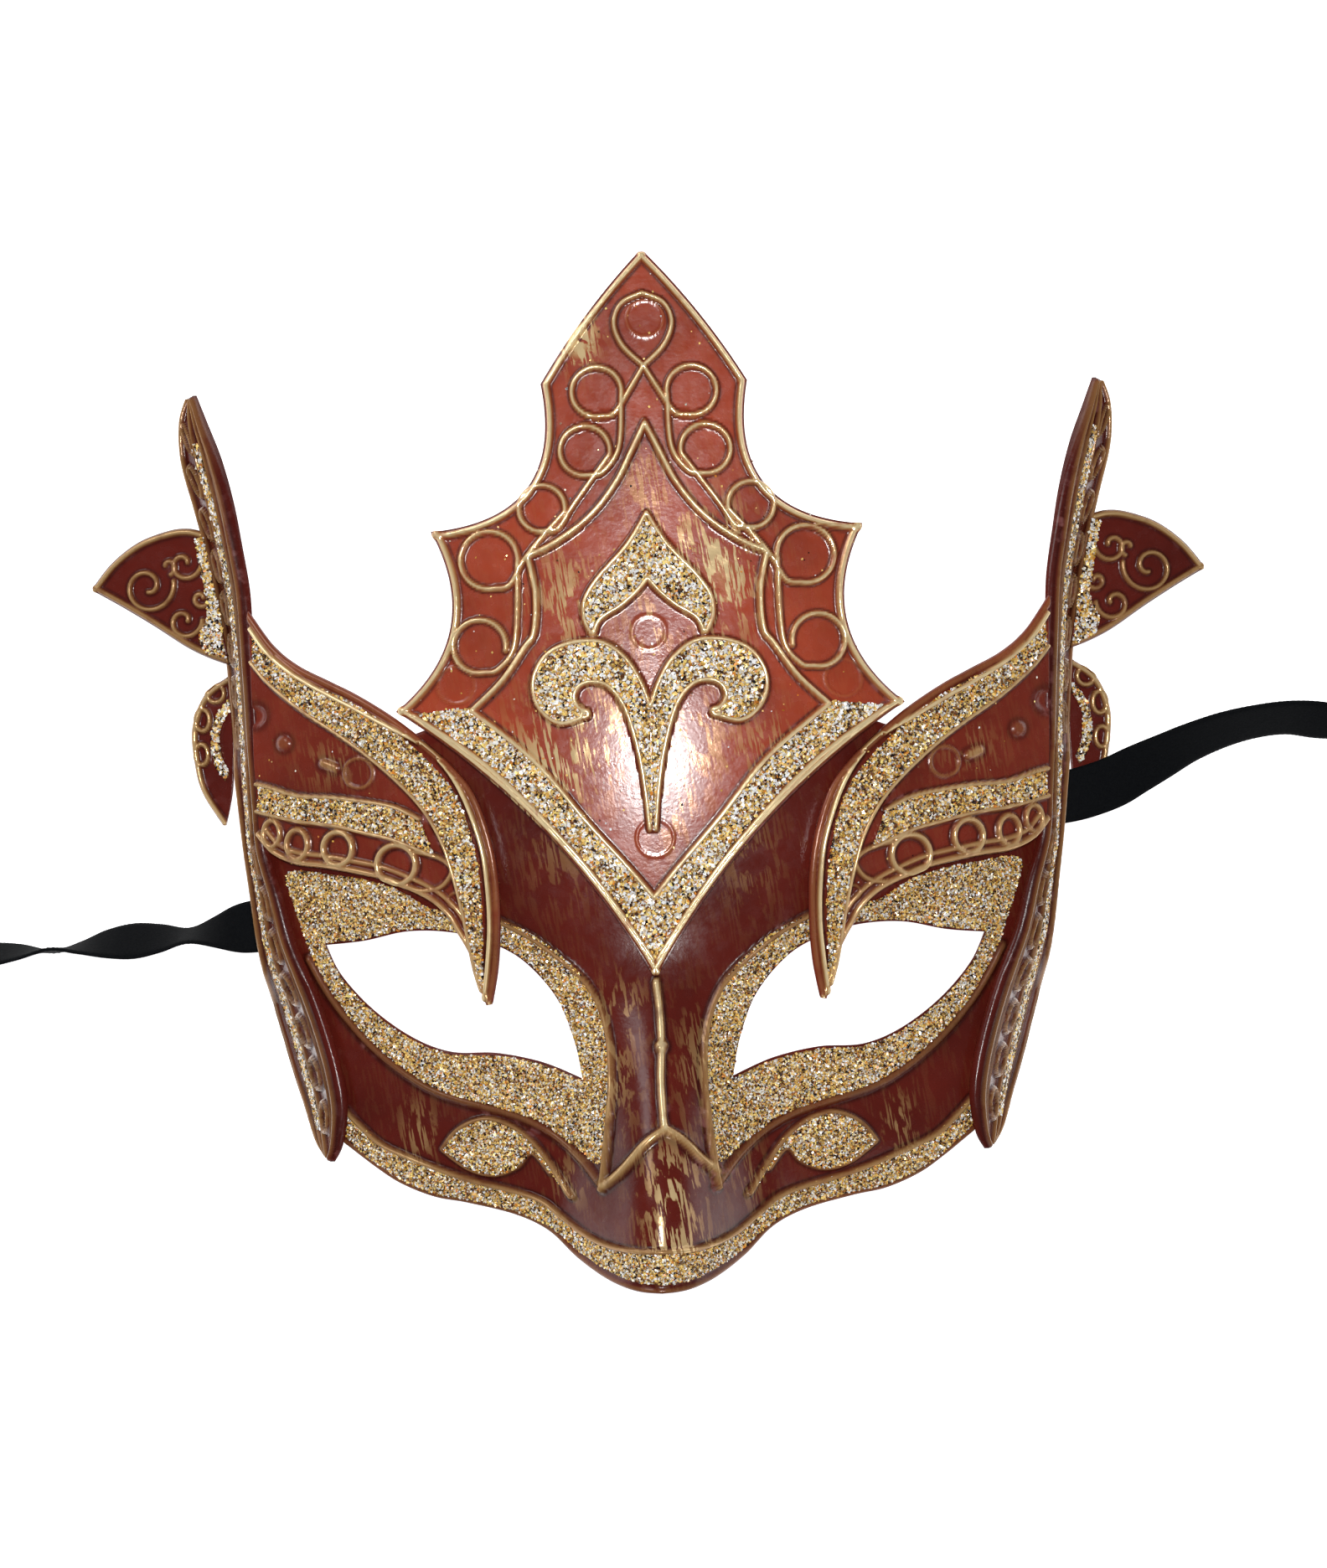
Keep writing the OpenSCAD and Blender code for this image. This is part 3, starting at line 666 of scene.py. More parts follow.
# ---------------------------------------------------------------- outlines, in mm, right side
# The ends of the shell and the wings reach a little way into the blades, so that no slit shows.
CREST_EDGE = chain(bow((0.4, 90.7), (17.9, 67.9), 0.8, 70), bow((17.9, 67.9), (37.5, 42.8), -9, 90),
                   bow((37.5, 42.8), (44.2, 11.7), -6.6, 90), bow((44.2, 11.7), (0.4, -34.7), -4, 150))
EYE_TOP = [[13, -52.4], [14.3, -46], [17.2, -38.6], [22.2, -32.6], [27.4, -29.3], [34.7, -27],
           [43, -26.6], [51, -28.2], [58, -28.9]]
EYE_BOTTOM = [[13, -52.4], [20, -49.6], [28, -48], [36, -47.8], [43, -45.2], [50, -40.2], [55.4, -34.2],
              [58, -28.9]]
SEAM_MID = [[0, -50], [6.5, -50.8], [13, -52.4]]
SEAM_SIDE = [[58, -28.9], [66.9, -24]]
SHELL_TOP = [[0, 14], [10, 13], [20, 12], [30, 10.5], [38, 8.8], [43, 7.8], [48, 11.5], [54, 15],
             [61, 19], [69.2, 27]]
SHELL_BROW = [[0, -16], [12, -16], [24, -13], [36, -10], [48, -8], [58, -7.4], [69.9, -8]]
SHELL_CHEEK = [[0, -69], [7, -69], [14, -66.5], [25, -62], [36, -60], [45, -57], [50, -53], [57, -46.4]]
SHELL_LOW = [[0, -87.9], [4.6, -87.5], [9.4, -85.9], [14.4, -82.9], [19.3, -78.7], [25.3, -76], [33.6, -74],
             [39.4, -73], [45.2, -70.8], [49.7, -68], [55.4, -63.8]]
WING_HIGH = [[70.9, 30.4], [66.4, 24.2], [61.8, 20.4], [56, 17.4], [51, 14.8], [45, 11], [39.4, 6.6],
             [34.4, 2], [30.6, -3], [28, -10.5], [26.8, -18], [26.7, -26], [27.2, -33], [28.4, -39.4]]
WING_LOW = [[70, -9.6], [67.4, -12.6], [63.2, -14.6], [57.4, -15.4], [52, -16.4], [47.6, -17.4],
            [42.8, -19.3], [38.8, -21.4], [36, -24], [34.6, -26.4], [33.3, -28.6], [31.9, -31.5],
            [31, -35], [29.4, -39.6]]
FAN_HIGH = [[80.8, 45.8], [83.4, 46.4], [87, 46.1], [92.6, 44.2], [97.6, 40.6], [101.4, 36.1]]
FAN_LOW = [[76.2, 21.4], [79.6, 22.6], [84, 24.8], [90, 28.8], [95.8, 32.4], [101.2, 35.5]]
CRESCENT_OUT = [[77, 19.4], [81.4, 16.2], [83.8, 10.4], [83.6, 4.4], [82.2, -1.6], [78.4, -7.7]]
CRESCENT_IN = [[76.5, 18.4], [76.3, 13], [76, 8], [76.2, 3], [76.6, -2], [77.8, -7.7]]

VEE_LOW = [[0, -31.6], [5.2, -23.6], [12, -14.3], [21.6, -3.6], [30.2, 4.2], [40.4, 11.2]]
VEE_HIGH = [[0, -21.4], [4.7, -15.8], [10, -9.3], [17, -1.2], [24.5, 6.3], [31.4, 12]]
FLAME_OUT = [[0, 45], [3.3, 39.6], [8.4, 34], [10.8, 30.2], [11, 27], [9.9, 24.4]]
FLAME_IN = [[0, 33.8], [2, 31.4], [4.8, 29], [7, 27.7], [8.6, 26.4], [9.4, 24.4]]
SCROLL_IN = [[0.5, -9.4], [1.1, -3], [1.9, 2.6], [3, 7.4], [4.4, 11.6], [6.2, 14.4], [8.2, 15.8],
             [10.6, 16], [12.2, 15.2], [13, 13.8], [12.9, 12.6], [12.3, 11.7], [11.7, 11.2],
             [11.1, 10.9]]
SCROLL_OUT = [[0.2, -9.6], [0.1, -2], [0.1, 5], [0.1, 11.6], [1.6, 15.8], [4.2, 20], [8, 22.7],
              [12.6, 22.9], [16.8, 21.4], [19.3, 18.4], [20, 14.8], [18.6, 11.2], [15.4, 9], [11.3, 10]]
BAND_OUT = [[70.2, 26.6], [66.8, 22.4], [61, 17.8], [55, 15], [49, 11.6], [43, 7], [37.4, 1.6],
            [33.4, -4], [31, -12], [30, -19], [29.8, -26], [30, -32], [29.6, -37]]
BAND_IN = [[70.2, 21.2], [67, 17.4], [61, 12.4], [55, 8.4], [49, 4], [43.4, -1], [39.4, -5.6],
           [36.4, -11], [34.6, -16.6], [33.2, -22.6], [32.2, -28], [31.3, -33], [30.2, -37]]
STRIP_HIGH = [[69.6, -0.4], [67.2, -1], [62, -2.6], [56, -3], [50, -3.8], [44.6, -4.9], [40.4, -7]]
STRIP_LOW = [[69.6, -5.2], [67.2, -5.8], [62, -7], [56, -7.8], [50, -9.2], [44.6, -10.6], [38, -13.4]]
EYE_RING = [[8, -55], [8.2, -47], [10.2, -39.4], [14, -33.4], [20, -28.2], [26.6, -25], [33, -23.6],
            [39, -22.6], [45, -19.2], [51, -17.4], [57.4, -16.4], [62.6, -15.7], [65, -16.6],
            [64, -20.6], [62, -26.6], [60.4, -31], [58, -35.6], [54.6, -40.8], [49.6, -46.4],
            [43.6, -51.2], [37.4, -54.6], [31, -56.4], [25.4, -58], [20.4, -59.8], [16.6, -62.4],
            [13.4, -64.6], [10.4, -66.6], [8.8, -62]]
CHEEK_HIGH = [[15.2, -72.6], [18.6, -67.4], [22, -63.2], [26, -60.4], [30.4, -59.4], [34.8, -61.2],
              [37.6, -64.4]]
CHEEK_LOW = [[15.4, -73], [18.9, -68.6], [22, -65.2], [24.6, -67.6], [28.6, -69], [33, -68], [37.4, -64.9]]
BORDER_HIGH = [[0, -80.9], [7, -80.6], [12, -79.2], [16.8, -76.1], [21.6, -73], [33.5, -69.7], [42, -66.7],
               [48.4, -64], [52.4, -60.6], [54.8, -58.2]]
BORDER_LOW = [[0, -86.3], [4.5, -85.9], [9, -84.5], [14, -81.9], [19, -78.1], [25.3, -75.4], [33.6, -73.4],
              [39.4, -72.4], [45, -70.2], [49.4, -67.5], [52.6, -65], [55, -62.8]]
FAN_STRIP = ([[80.5, 44.6], [79.3, 38], [77.8, 31], [77, 24], [76.7, 22.2]],
             [[82.2, 44.4], [81, 38], [80, 31], [81.6, 26.4], [80.4, 23.6]])
CRESCENT_STRIP = ([[76.8, 15.4], [79, 12.6], [80.2, 8.4], [79.6, 3.4], [77.8, 0.4]],
                  [[76.7, 13.2], [78, 11.2], [78.7, 8], [78.2, 4.4], [77.1, 2]])


# ---------------------------------------------------------------- crest
def mirrored_strokes(strokes):
    """The same strokes on the mask's other side."""
    return [(p * [-1, 1], *rest) for p, *rest in strokes]


def crest_wire():
    """A wire that runs down beside the leaf and turns a ring at each scallop."""
    rings = [(8.2, 66.2, 4.3), (10.4, 56, 4.3), (18, 46.2, 4.0), (27.3, 37.5, 5.0), (29.2, 22.6, 4.6)]
    drop = curve([[0, 83.3], [3.6, 81.6], [5, 78.2], [3.6, 74.2], [0, 70.6]])
    lines, end = [both(drop)], np.array([0.0, 70.6])
    for x, y, r in rings:
        loop = ring(x, y, r, start=-100, end=190)
        lead = curve([end, [x - r - 1.6, y + 0.6], [x - 0.72 * r, y - 0.86 * r], loop[0]])
        lines.append(np.vstack([lead, loop]))
        end = loop[-1]
    return [(p, 0.52, 0.95, 0.95) for p in lines]


def crest_strokes():
    rim = offset(CREST_EDGE, -0.9)
    leaf = [curve([[0, 60.6], [2.2, 56.2], [5.2, 50.3], [9.8, 44.6], [15.8, 40.2], [20.6, 38]]),
            curve([[20.6, 38], [19.3, 31.5], [19.7, 24.8], [21.5, 22], [25.5, 16.4], [30.7, 11.5]]),
            curve([[30.7, 11.5], [20, 2.6], [11.5, -7.7], [4.6, -15.6], [0, -21.2]])]
    beads = [(rim, 0.62, 0.9, 1.0)] + [(p, 0.62, 1.2, 1.0) for p in leaf]
    beads += [(offset(curve(VEE_LOW), -0.5), 0.62, 1.2, 1.0)]
    beads += [(curve(p), 0.55, 1.2, 1.0) for p in (FLAME_OUT, FLAME_IN, SCROLL_IN, SCROLL_OUT[3:])]
    beads += [(ring(11.2, 10.5, 0.6), 0.5, 1.25, 1.0)]
    pins = [(ring(33.5, 16, 3.2), 0.3, 0.18, 0.1), (ring(0, 24.4, 2.9), 0.3, 0.14, 0.1),
            (ring(0.4, 78.9, 3.2), 0.3, 0.14, 0.1), (ring(0.4, -11, 3.2), 0.3, 0.12, 0.05)]
    return [beads + mirrored_strokes(beads), crest_wire() + mirrored_strokes(crest_wire()),
            pins + mirrored_strokes(pins[:1])]


def patches(spots):
    """Soft patches where the gold brush touched: [(x, y, half width, half height, strength)]."""
    def mask(flat):
        x, y = flat[..., 0], flat[..., 1]
        return np.clip(sum(s * bump(x - a, w) * bump(y - b, h) for a, b, w, h, s in spots) + 0.02, 0, 2)
    return mask


CREST_RUB = patches([(-16, 3, 7, 9, 1.0), (9, 37, 8, 9, 0.9), (-25, -6, 6, 8, 0.6), (8, 6, 5, 8, 0.5),
                     (-8, 8, 4, 7, 0.6), (-11.4, 75.6, 2.6, 4, 2.4), (-14, 30, 5, 9, 0.7),
                     (14, 32, 4, 9, 0.7), (0, 50, 4, 8, 0.4), (20, 4, 6, 6, 0.4), (0, 25, 4, 5, 0.5),
                     (4, -6, 4, 8, 0.35)])
CREST_COLS = np.linspace(-1, 1, 221)
crest_flat = np.stack([CREST_EDGE[:, :1] * CREST_COLS, CREST_EDGE[:, 1:] + 0 * CREST_COLS], -1)
moulding("crest", crest_flat, plan(crest_z), below(CREST_WALL), crest_strokes(), RED_BROWN,
         "crest_plate", extra=CREST_RUB)


# ---------------------------------------------------------------- face shell
# Columns of points from the nose to the eye, along its lid, and beyond it
MID_COLS, LID_COLS, SIDE_COLS = 46, 150, 14


def shell_row(lid):
    """The seam between the shell's upper and lower parts, by way of the eyes' upper or lower lids."""
    side = cut(np.array(SEAM_SIDE, float), SIDE_COLS)
    return both(chain(along(SEAM_MID, MID_COLS), along(lid, LID_COLS), side))


def face_strokes():
    rim = curve([[27.2, -24.8], [20.5, -28.5], [13.2, -34.7], [9.9, -39.6], [8.2, -45.5], [7.8, -52.6],
                 [8.3, -59.5], [9.2, -67.3], [9.8, -71]])
    cheek = curve([[9.6, -70.6], [13, -66.4], [17, -62.8], [21, -60.4], [26, -58.4], [37.4, -55.2],
                   [43.8, -51.8], [50, -46.8], [55, -41.2], [58.4, -36.2], [61, -31.4]])
    beads = [(rim, 0.65, 1.1, 0.45), (curve(CHEEK_HIGH), 0.6, 1.0, 0.4), (cheek, 0.8, 0.9, 0.15),
             (curve(BORDER_HIGH), 0.6, 1.1, 0.5), (offset(curve(SHELL_LOW), 0.4), 0.5, 0.5, 0.15),
             (curve([CHEEK_HIGH[-1], *CHEEK_LOW[:0:-1]]), 0.5, 0.8, 0.3)]
    nose = curve([[0, -35.9], [0.5, -40.6], [0.7, -46.3], [0.5, -52.3], [0.8, -59.1], [1.1, -60.5]])
    ridge = [(nose, 0.7, 1.0, 1.0), (ring(0.7, -46.8, 0.3), 0.9, 1.4, 1.0),
             (curve([[1.1, -60.5], [-2.1, -62.8], [-5.9, -67.1], [-9.3, -70.3]]), 0.8, 0.9, 0.7),
             (curve([[1.1, -60.5], [4, -62.6], [6.8, -65.6], [9.7, -68.2]]), 0.8, 0.9, 0.7)]
    return [beads + mirrored_strokes(beads), ridge]


FACE_RUB = patches([(2, -72, 4.5, 8, 0.9), (-7, -52, 3.5, 8, 0.3), (6.5, -50, 3, 8, 0.3),
                    (-15, -12, 6, 8, 0.2), (16, -14, 5, 8, 0.2), (15.5, -70, 3, 5, 0.25),
                    (-15.5, -70, 3, 5, 0.25), (42, -62, 3, 5, 0.35), (-42, -62, 3, 5, 0.35),
                    (3, -80, 5, 3, 0.45), (-6, -40, 4, 5, 0.3)])


def shell():
    """The face shell as one closed sheet with its two eye holes."""
    half = MID_COLS + LID_COLS + SIDE_COLS
    top, brow, cheek, low = (both(along(p, half)) for p in (SHELL_TOP, SHELL_BROW, SHELL_CHEEK, SHELL_LOW))
    upper = np.concatenate([rule(top, brow, 34), rule(brow, shell_row(EYE_TOP), 50)[1:]])
    lower = np.concatenate([rule(shell_row(EYE_BOTTOM), cheek, 44), rule(cheek, low, 60)[1:]])
    ru, rl, c = len(upper), len(lower), 2 * half + 1
    flat = np.concatenate([upper, lower])
    lift, gold, crevice_shade = layers(flat, face_strokes())
    base = plan(face_z)(flat)
    up = np.concatenate([normals(base[:ru]), normals(base[ru:])])
    n = flat.shape[0] * c
    verts = np.vstack([to_row(base + up * lift[..., None]), to_row(base - [0, 0, FACE_WALL])])
    skin = np.vstack([grid_faces(ru, c), grid_faces(rl, c) + ru * c])
    top_row, low_row = np.arange(c), n - c + np.arange(c)
    parts = [skin, skin[:, ::-1] + n, walls(top_row, top_row + n), walls(low_row, low_row + n)[:, ::-1]]
    for j, flip in ((0, True), (c - 1, False)):
        for a, b in ((0, ru), (ru, ru + rl)):
            column = np.arange(a, b) * c + j
            w = walls(column, column + n)
            parts.append(w[:, ::-1] if flip else w)
    for start in (SIDE_COLS, half + MID_COLS):
        lid = (ru - 1) * c + np.arange(start, start + LID_COLS + 1)
        parts += [walls(lid, lid + n)[:, ::-1], walls(lid + c, lid + c + n)]
    faces = turn_out(verts, np.vstack(parts))
    attrs = wear_and_shade(gold, crevice_shade, FACE_RUB(flat))
    add_piece("face_shell", verts, faces, MAROON, attrs, nodes=["base_shell"])


shell()


# ---------------------------------------------------------------- wings
def wing_strokes():
    top = curve(WING_HIGH)
    gold = curve([[70.2, 27], [66.8, 22.4], [61, 17.8], [51.7, 12.6], [45.4, 9.1], [39.4, 5.8],
                  [35.2, 1.5], [32.1, -4.1], [29.5, -12], [28.6, -19], [28.4, -25.9], [29, -33],
                  [29.7, -38.5]])
    low = curve(WING_LOW)
    beads = [(offset(top, 0.7), 0.7, 0.5, 0.15), (gold, 0.6, 1.2, 1.0), (curve(BAND_IN), 0.5, 1.1, 0.8),
             (curve(STRIP_HIGH), 0.5, 1.1, 0.8), (curve(STRIP_LOW), 0.5, 1.1, 0.8),
             (offset(low, -0.6), 0.6, 0.8, 0.7), (offset(low[:70], -2.2), 0.5, 0.6, 0.6)]
    rings = [(ring(67, -9.1, 1.5, 2.3), 0.5, 0.9, 0.7), (ring(62.4, -11.1, 1.9, 2.6), 0.55, 0.9, 0.7),
             (ring(55, -11.9, 2.6, 2.9), 0.6, 1.0, 0.8), (ring(44.6, -14.8, 3.4, 3.4), 0.65, 1.0, 0.8),
             (curve([[41.4, -12.6], [37, -13.8], [34.9, -15.9], [36.6, -18.6], [40, -19.4], [44, -18.4]]),
              0.5, 0.8, 0.6),
             (ring(34.4, -21.2, 1.3), 0.35, 0.4, 0.2), (ring(51.1, 1.2, 2.6), 0.35, 0.35, 0.25)]
    dents = [(ring(69.8, 11.7, 0.5), 1.4, -0.6, 0.0), (ring(64.6, 6.7, 0.4), 1.0, 0.6, 0.1),
             (np.array([[55.4, 2.2], [57.4, 3.0]]), 0.9, 0.6, 0.4)]
    return [beads, rings, dents]


CLAW_FROM, CLAW_RUN, CLAW_THINNER = -17, 5, 0.9    # the claw, below this y, is thinner


def wing_under(base):
    """The wing's back, raised along the claw over the eye."""
    tip = CLAW_THINNER * ease((CLAW_FROM - base[..., 1]) / CLAW_RUN) - WING_T
    return np.stack([0 * tip, 0 * tip, tip], -1)


WING_RUB = patches([(56, 3, 5, 4, 0.2)])
wing_flat = rule(curve(WING_HIGH, 22), curve(WING_LOW, 22), 96)
for side, word in SIDES:
    moulding(f"wing_{word}", wing_flat, plan(wing_z), wing_under, wing_strokes(), RED,
             f"brow_wing_{word}", side, extra=WING_RUB)


# ---------------------------------------------------------------- blades
def unrolled(flat):
    """Blade coordinates with the first one in mm across the face."""
    return np.stack([flat[..., 0] * blade_width(flat[..., 1]), flat[..., 1]], -1)


def across_at(f, y0=69, y1=-66.6):
    """A line down the blade at a share f of its width, which may be a function of y."""
    y = np.linspace(y0, y1, 200)
    f = f(y) if callable(f) else f + 0 * y
    return unrolled(np.stack([f, y], -1))


def blade_strip(y):
    """The two edges of the blade's glitter strip, as shares of its width."""
    t = ease((10 - y) / 40)
    return 0.2 + 0.25 * t, 0.38 + 0.2 * t


def blade_strokes():
    lines = [(0.03, 0.6, 0.9, 0.3), (0.1, 0.4, 0.6, 0.25), (0.8, 0.5, 0.9, 0.45), (0.97, 0.4, 0.5, 0.3)]
    beads = [(across_at(f), h, z, g) for f, h, z, g in lines]
    beads += [(across_at(lambda y: blade_strip(y)[0] - 0.02), 0.4, 0.9, 0.4),
              (across_at(lambda y: blade_strip(y)[1] + 0.02), 0.4, 0.9, 0.4),
              (across_at(0.17, 0), 0.4, 0.5, 0.3)]
    rings = []
    for y in np.arange(62, -62, -7.6):
        w = float(blade_width(y))
        f = 0.6 if y > 5 else 0.33      # outside the strip above, inside it below
        rings.append((ring(f * w, y, 0.09 * w, 2.8), 0.4, 0.9, 0.45))
    return [beads, rings]


def blade_under(base):
    """The blade's inner face, thinner towards its points."""
    inner, outer, _ = blade_row(base[..., 1])
    thick = np.minimum(BLADE_WALL, BLADE_LIP + (outer - inner) * BLADE_THINNING)
    return np.stack([-thick, 0 * thick, 0 * thick], -1)


blade_flat = np.stack(np.meshgrid(np.linspace(0, 1, 91), cut(BLADE_ROWS, 340)[:, 0]), -1)
for side, word in SIDES:
    moulding(f"blade_{word}", blade_flat, on_blade, blade_under, blade_strokes(), MAROON,
             f"side_blade_{word}", side, metric=unrolled)


# ---------------------------------------------------------------- fins
def fan_strokes():
    rim = [(offset(curve(FAN_HIGH), -0.7), 0.6, 0.7, 0.7), (offset(curve(FAN_LOW), 0.7), 0.6, 0.7, 0.5)]
    curls = [spiral(91.1, 36, 5.0, 1.0, 170, 620), spiral(84.2, 40, 3.2, 0.7, 190, 520),
             spiral(84.4, 29.6, 3.4, 0.7, 180, 540), spiral(87.2, 39.6, 1.6, 0.5, 250, 20),
             spiral(81.2, 33.6, 1.7, 0.5, 200, 520), spiral(80.2, 28.4, 1.5, 0.5, 120, 420)]
    return [rim + [(p, 0.5, 0.7, 0.55) for p in curls]]


def crescent_strokes():
    rim = [(offset(curve(CRESCENT_OUT), -0.6), 0.55, 0.7, 0.8)]
    places = (79.3, 16.4, 1.6), (81.8, 11.6, 1.3, 2.0), (82.1, 5.3, 1.2, 1.9)
    return [rim + [(ring(*place), 0.45, 0.7, 0.7) for place in places]]


fan_flat = rule(along(FAN_HIGH, 90), along(FAN_LOW, 90), 80)
crescent_flat = rule(along(CRESCENT_OUT, 90), along(CRESCENT_IN, 90), 26)
for side, word in SIDES:
    moulding(f"fan_{word}", fan_flat, plan(fan_z), below(FIN_WALL), fan_strokes(), MAROON,
             f"fan_fin_{word}", side)
    moulding(f"crescent_{word}", crescent_flat, plan(crescent_z), below(FIN_WALL), crescent_strokes(),
             MAROON, f"crescent_fin_{word}", side)


# ---------------------------------------------------------------- glitter
FLAKE_ASPECT = 0.85
COVER = 1.5                         # nominal area of the flakes over the area of their bed
STRAY_LIFT, STRAY_TILT = 0.05, 0.2
UP, OUTWARD = np.array([0, 0, 1.0]), np.array([1.0, 0, 0])
# Flake colours. The pure white flakes are painted sparkle; the coarse glitter has more of them
PALETTE = np.array([(1.0, 0.66, 0.2), (0.66, 0.37, 0.07), (1.0, 1.0, 1.0), (0.9, 0.84, 0.7),
                    (0.7, 0.24, 0.03), (0.15, 0.05, 0.015), (0.01, 0.006, 0.006)])
FINE_SHARES = [0.25, 0.19, 0.14, 0.12, 0.06, 0.14, 0.1]
COARSE_SHARES = [0.25, 0.14, 0.28, 0.13, 0.04, 0.09, 0.07]


def scatter(name, grid, count, size, lift, side, tilt):
    """Flakes thrown evenly over a grid of points, each with a colour and a tilt of its own."""
    a, b, c, d = grid[:-1, :-1], grid[:-1, 1:], grid[1:, 1:], grid[1:, :-1]
    area = np.linalg.norm(np.cross(c - a, d - b), axis=-1).ravel()
    pick = rng.choice(area.size, count, p=area / area.sum())
    u, v = rng.random((2, count, 1))
    a, b, c, d = (q.reshape(-1, 3)[pick] for q in (a, b, c, d))
    place = (a * (1 - u) + b * u) * (1 - v) + (d * (1 - u) + c * u) * v
    n = normals(grid)[:-1, :-1].reshape(-1, 3)[pick]
    place += n * (lift + 0.12 * rng.random((count, 1)))
    n = n + tilt * rng.normal(size=n.shape)
    n /= np.linalg.norm(n, axis=1, keepdims=True)
    t = np.cross(n, rng.normal(size=n.shape))
    t /= np.linalg.norm(t, axis=1, keepdims=True)
    s = np.cross(n, t)
    half = size * rng.uniform(0.3, 0.75, (count, 1))
    corners = [place + half * (t * i + s * j * FLAKE_ASPECT) for i, j in ((-1, -1), (1, -1), (1, 1), (-1, 1))]
    verts = to_row(np.stack(corners, 1), side)
    shares = COARSE_SHARES if size >= COARSE else FINE_SHARES
    # Each flake's colour from the palette; the pure white ones are painted sparkle
    tint = PALETTE[rng.choice(len(PALETTE), count, p=shares)] * rng.uniform(0.6, 1.25, (count, 1))
    tint = np.repeat(np.c_[np.clip(tint, 0, 1), np.ones(count)], 4, axis=0)
    faces = np.arange(4 * count).reshape(-1, 4)
    faces = faces if side > 0 else faces[:, ::-1]
    add_piece(name, verts, faces, FLAKE, {"tint": tint}, smooth=False)


def glitter(name, flat, surface, node, side=1, grain=COARSE, wrap=False, out=UP):
    """A bed of glitter laid a gap off a surface, with loose flakes on it."""
    base = surface(flat)
    top, low = base + out * (GAP + GLITTER_T), base + out * GAP
    top = top + out * 0.08 * rng.normal(size=top.shape[:2])[..., None]
    verts = np.vstack([to_row(top, side), to_row(low, side)])
    faces = turn_out(verts, sheet_faces(*flat.shape[:2], wrap))
    add_piece(name, verts, faces, BED, nodes=[node])
    closed = np.concatenate([top, top[:, :1]], 1) if wrap else top
    u, v = np.diff(closed, axis=0)[:, :-1], np.diff(closed, axis=1)[:-1]
    area = np.linalg.norm(np.cross(u, v), axis=-1).sum()
    count = int(COVER * area / (grain * grain * FLAKE_ASPECT))
    tilt = 0.3 if grain == COARSE else 0.45
    scatter(name + "_flakes", closed, count, grain, 0.02, side, tilt)


def between(outer, inner, columns, rows=16):
    """A grid of plan points between two outlines."""
    return rule(along(outer, columns), along(inner, columns), rows)


def across_middle(outer, inner, columns):
    """The same between two half outlines that are mirrored to the left."""
    return rule(both(along(outer, columns)), both(along(inner, columns)), 16)


def eye_bed():
    """A ring of plan points from the eye hole's edge out to the glitter's outer edge."""
    upper, lower = along(EYE_TOP, LID_COLS) + [0, 0.4], along(EYE_BOTTOM[::-1], LID_COLS) - [0, 0.4]
    loop = np.vstack([upper, lower])
    outer = cut(curve([*EYE_RING, EYE_RING[0]]), len(loop))[:-1]
    return rule(loop, outer, 30)


def keep_right(points):
    """A smooth line kept on the right of the middle plane."""
    p = curve(points, 6)
    p[:, 0] = np.maximum(p[:, 0], 0.1)
    return p


def blade_bed():
    """A grid of blade points, share of width and y, for the strip down each blade."""
    y = np.linspace(61, -62, 240)
    low, high = blade_strip(y)
    return np.stack([np.stack([low + (high - low) * t, y], -1) for t in np.linspace(0, 1, 9)])


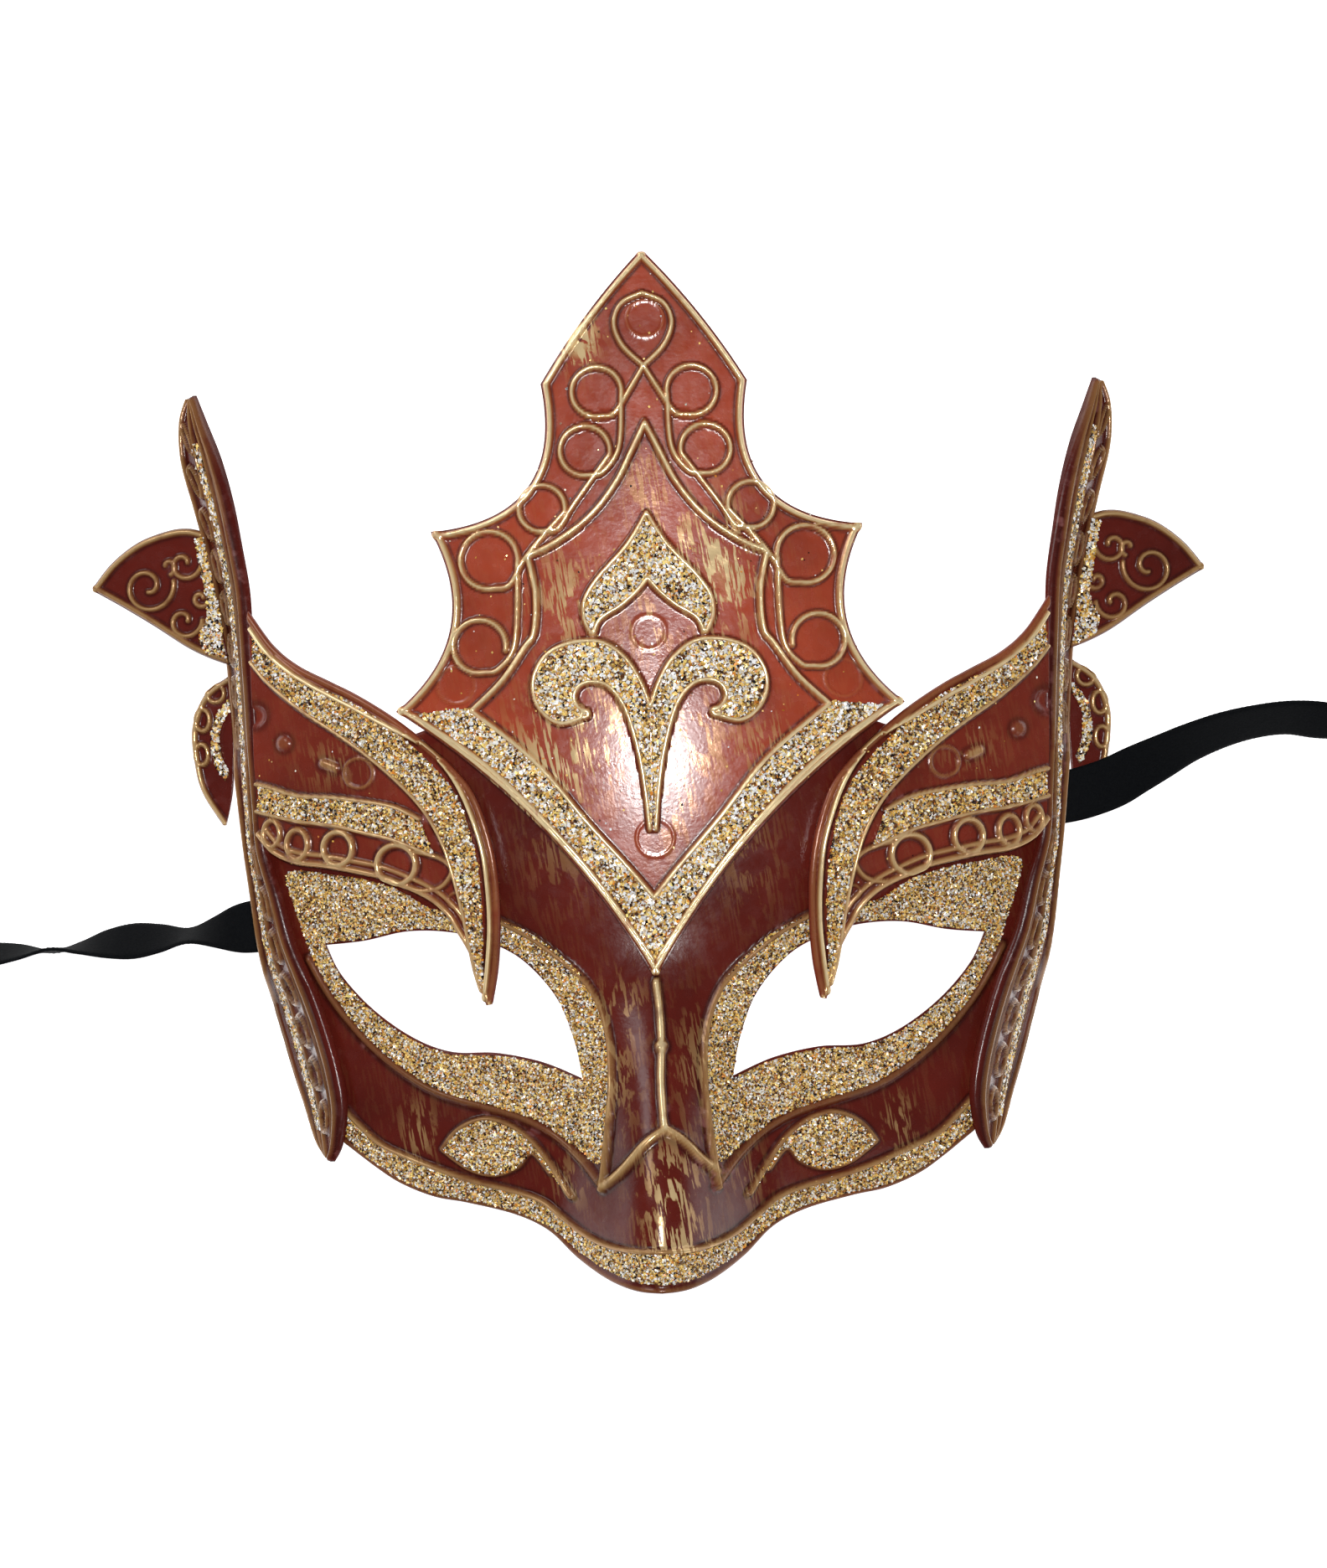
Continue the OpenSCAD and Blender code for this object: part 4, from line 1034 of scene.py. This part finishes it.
on_crest, on_face, on_wing = plan(crest_z), plan(face_z), plan(wing_z)
glitter("vee", across_middle(VEE_LOW, VEE_HIGH, 130), on_crest, "crest_v_glitter")
glitter("flame", across_middle(FLAME_OUT, FLAME_IN, 70), on_crest, "fleur_flame_glitter")
glitter("border", across_middle(BORDER_HIGH, BORDER_LOW, 150), on_face, "border_glitter",
        grain=FINE)
for side, word in SIDES:
    # piece, grid, surface, node, slot, grain
    beds = [("scroll", rule(keep_right(SCROLL_IN), keep_right(SCROLL_OUT), 16), on_crest,
             "fleur_scroll_glitter", "glitter", COARSE),
            ("band", between(BAND_OUT, BAND_IN, 130, 12), on_wing,
             "brow_upper_glitter", "glitter", MEDIUM),
            ("strip", between(STRIP_HIGH, STRIP_LOW, 70, 12), on_wing,
             "brow_lower_glitter", "glitter", MEDIUM),
            ("eye", eye_bed(), on_face, "eye_glitter", "fine_glitter", FINE),
            ("cheek", between(CHEEK_HIGH, CHEEK_LOW, 60), on_face,
             "cheek_glitter", "fine_glitter", FINE),
            ("fan_strip", between(*FAN_STRIP, 50, 6), plan(fan_z), "fan_glitter", "glitter", COARSE),
            ("crescent_strip", between(*CRESCENT_STRIP, 50, 6), plan(crescent_z),
             "crescent_glitter", "glitter", COARSE)]
    for piece, bed, surface, node, slot, grain in beds:
        glitter(f"{piece}_{word}", bed, surface, f"{node}_{word}", side, grain, wrap=piece == "eye")
    glitter(f"blade_strip_{word}", blade_bed(), on_blade, f"blade_glitter_{word}", side,
            out=OUTWARD)


# ---------------------------------------------------------------- glue pads that hold the ribbons' ends
PAD_HALF, PAD_Z, PAD_RISE = (2.6, 4.5), 9, 1.9
PAD_GRID = 24, 30


def glue_pad(word, x, y):
    """A blob of set glue with a slightly wavy top."""
    u, v = np.meshgrid(*(np.linspace(-1, 1, n) for n in PAD_GRID), indexing="ij")
    shape = np.clip(1 - u ** 4, 0, 1) ** 0.5 * np.clip(1 - v ** 4, 0, 1) ** 0.5
    wave = 0.12 * np.sin(5 * u + 2) * np.cos(4 * v)
    px, py = x + PAD_HALF[0] * u, y + PAD_HALF[1] * v
    top = np.stack([px, py, PAD_Z + (PAD_RISE + wave) * shape], -1)
    low = np.stack([px, py, PAD_Z - PAD_RISE * shape - 0.05], -1)
    verts = np.vstack([to_row(top), to_row(low)])
    add_piece(f"glue_{word}", verts, turn_out(verts, sheet_faces(*PAD_GRID)), GLUE,
              nodes=[f"ribbon_anchor_{word}"])


glue_pad("right", 68.4, -6)
glue_pad("left", -65.4, -26)

# Stray flakes on the bare plastic
scatter("stray_crest", on_crest(crest_flat), 260, 0.28, STRAY_LIFT, 1, STRAY_TILT)
for side, word in SIDES:
    scatter(f"stray_wing_{word}", on_wing(wing_flat), 60, 0.26, STRAY_LIFT, side, STRAY_TILT)
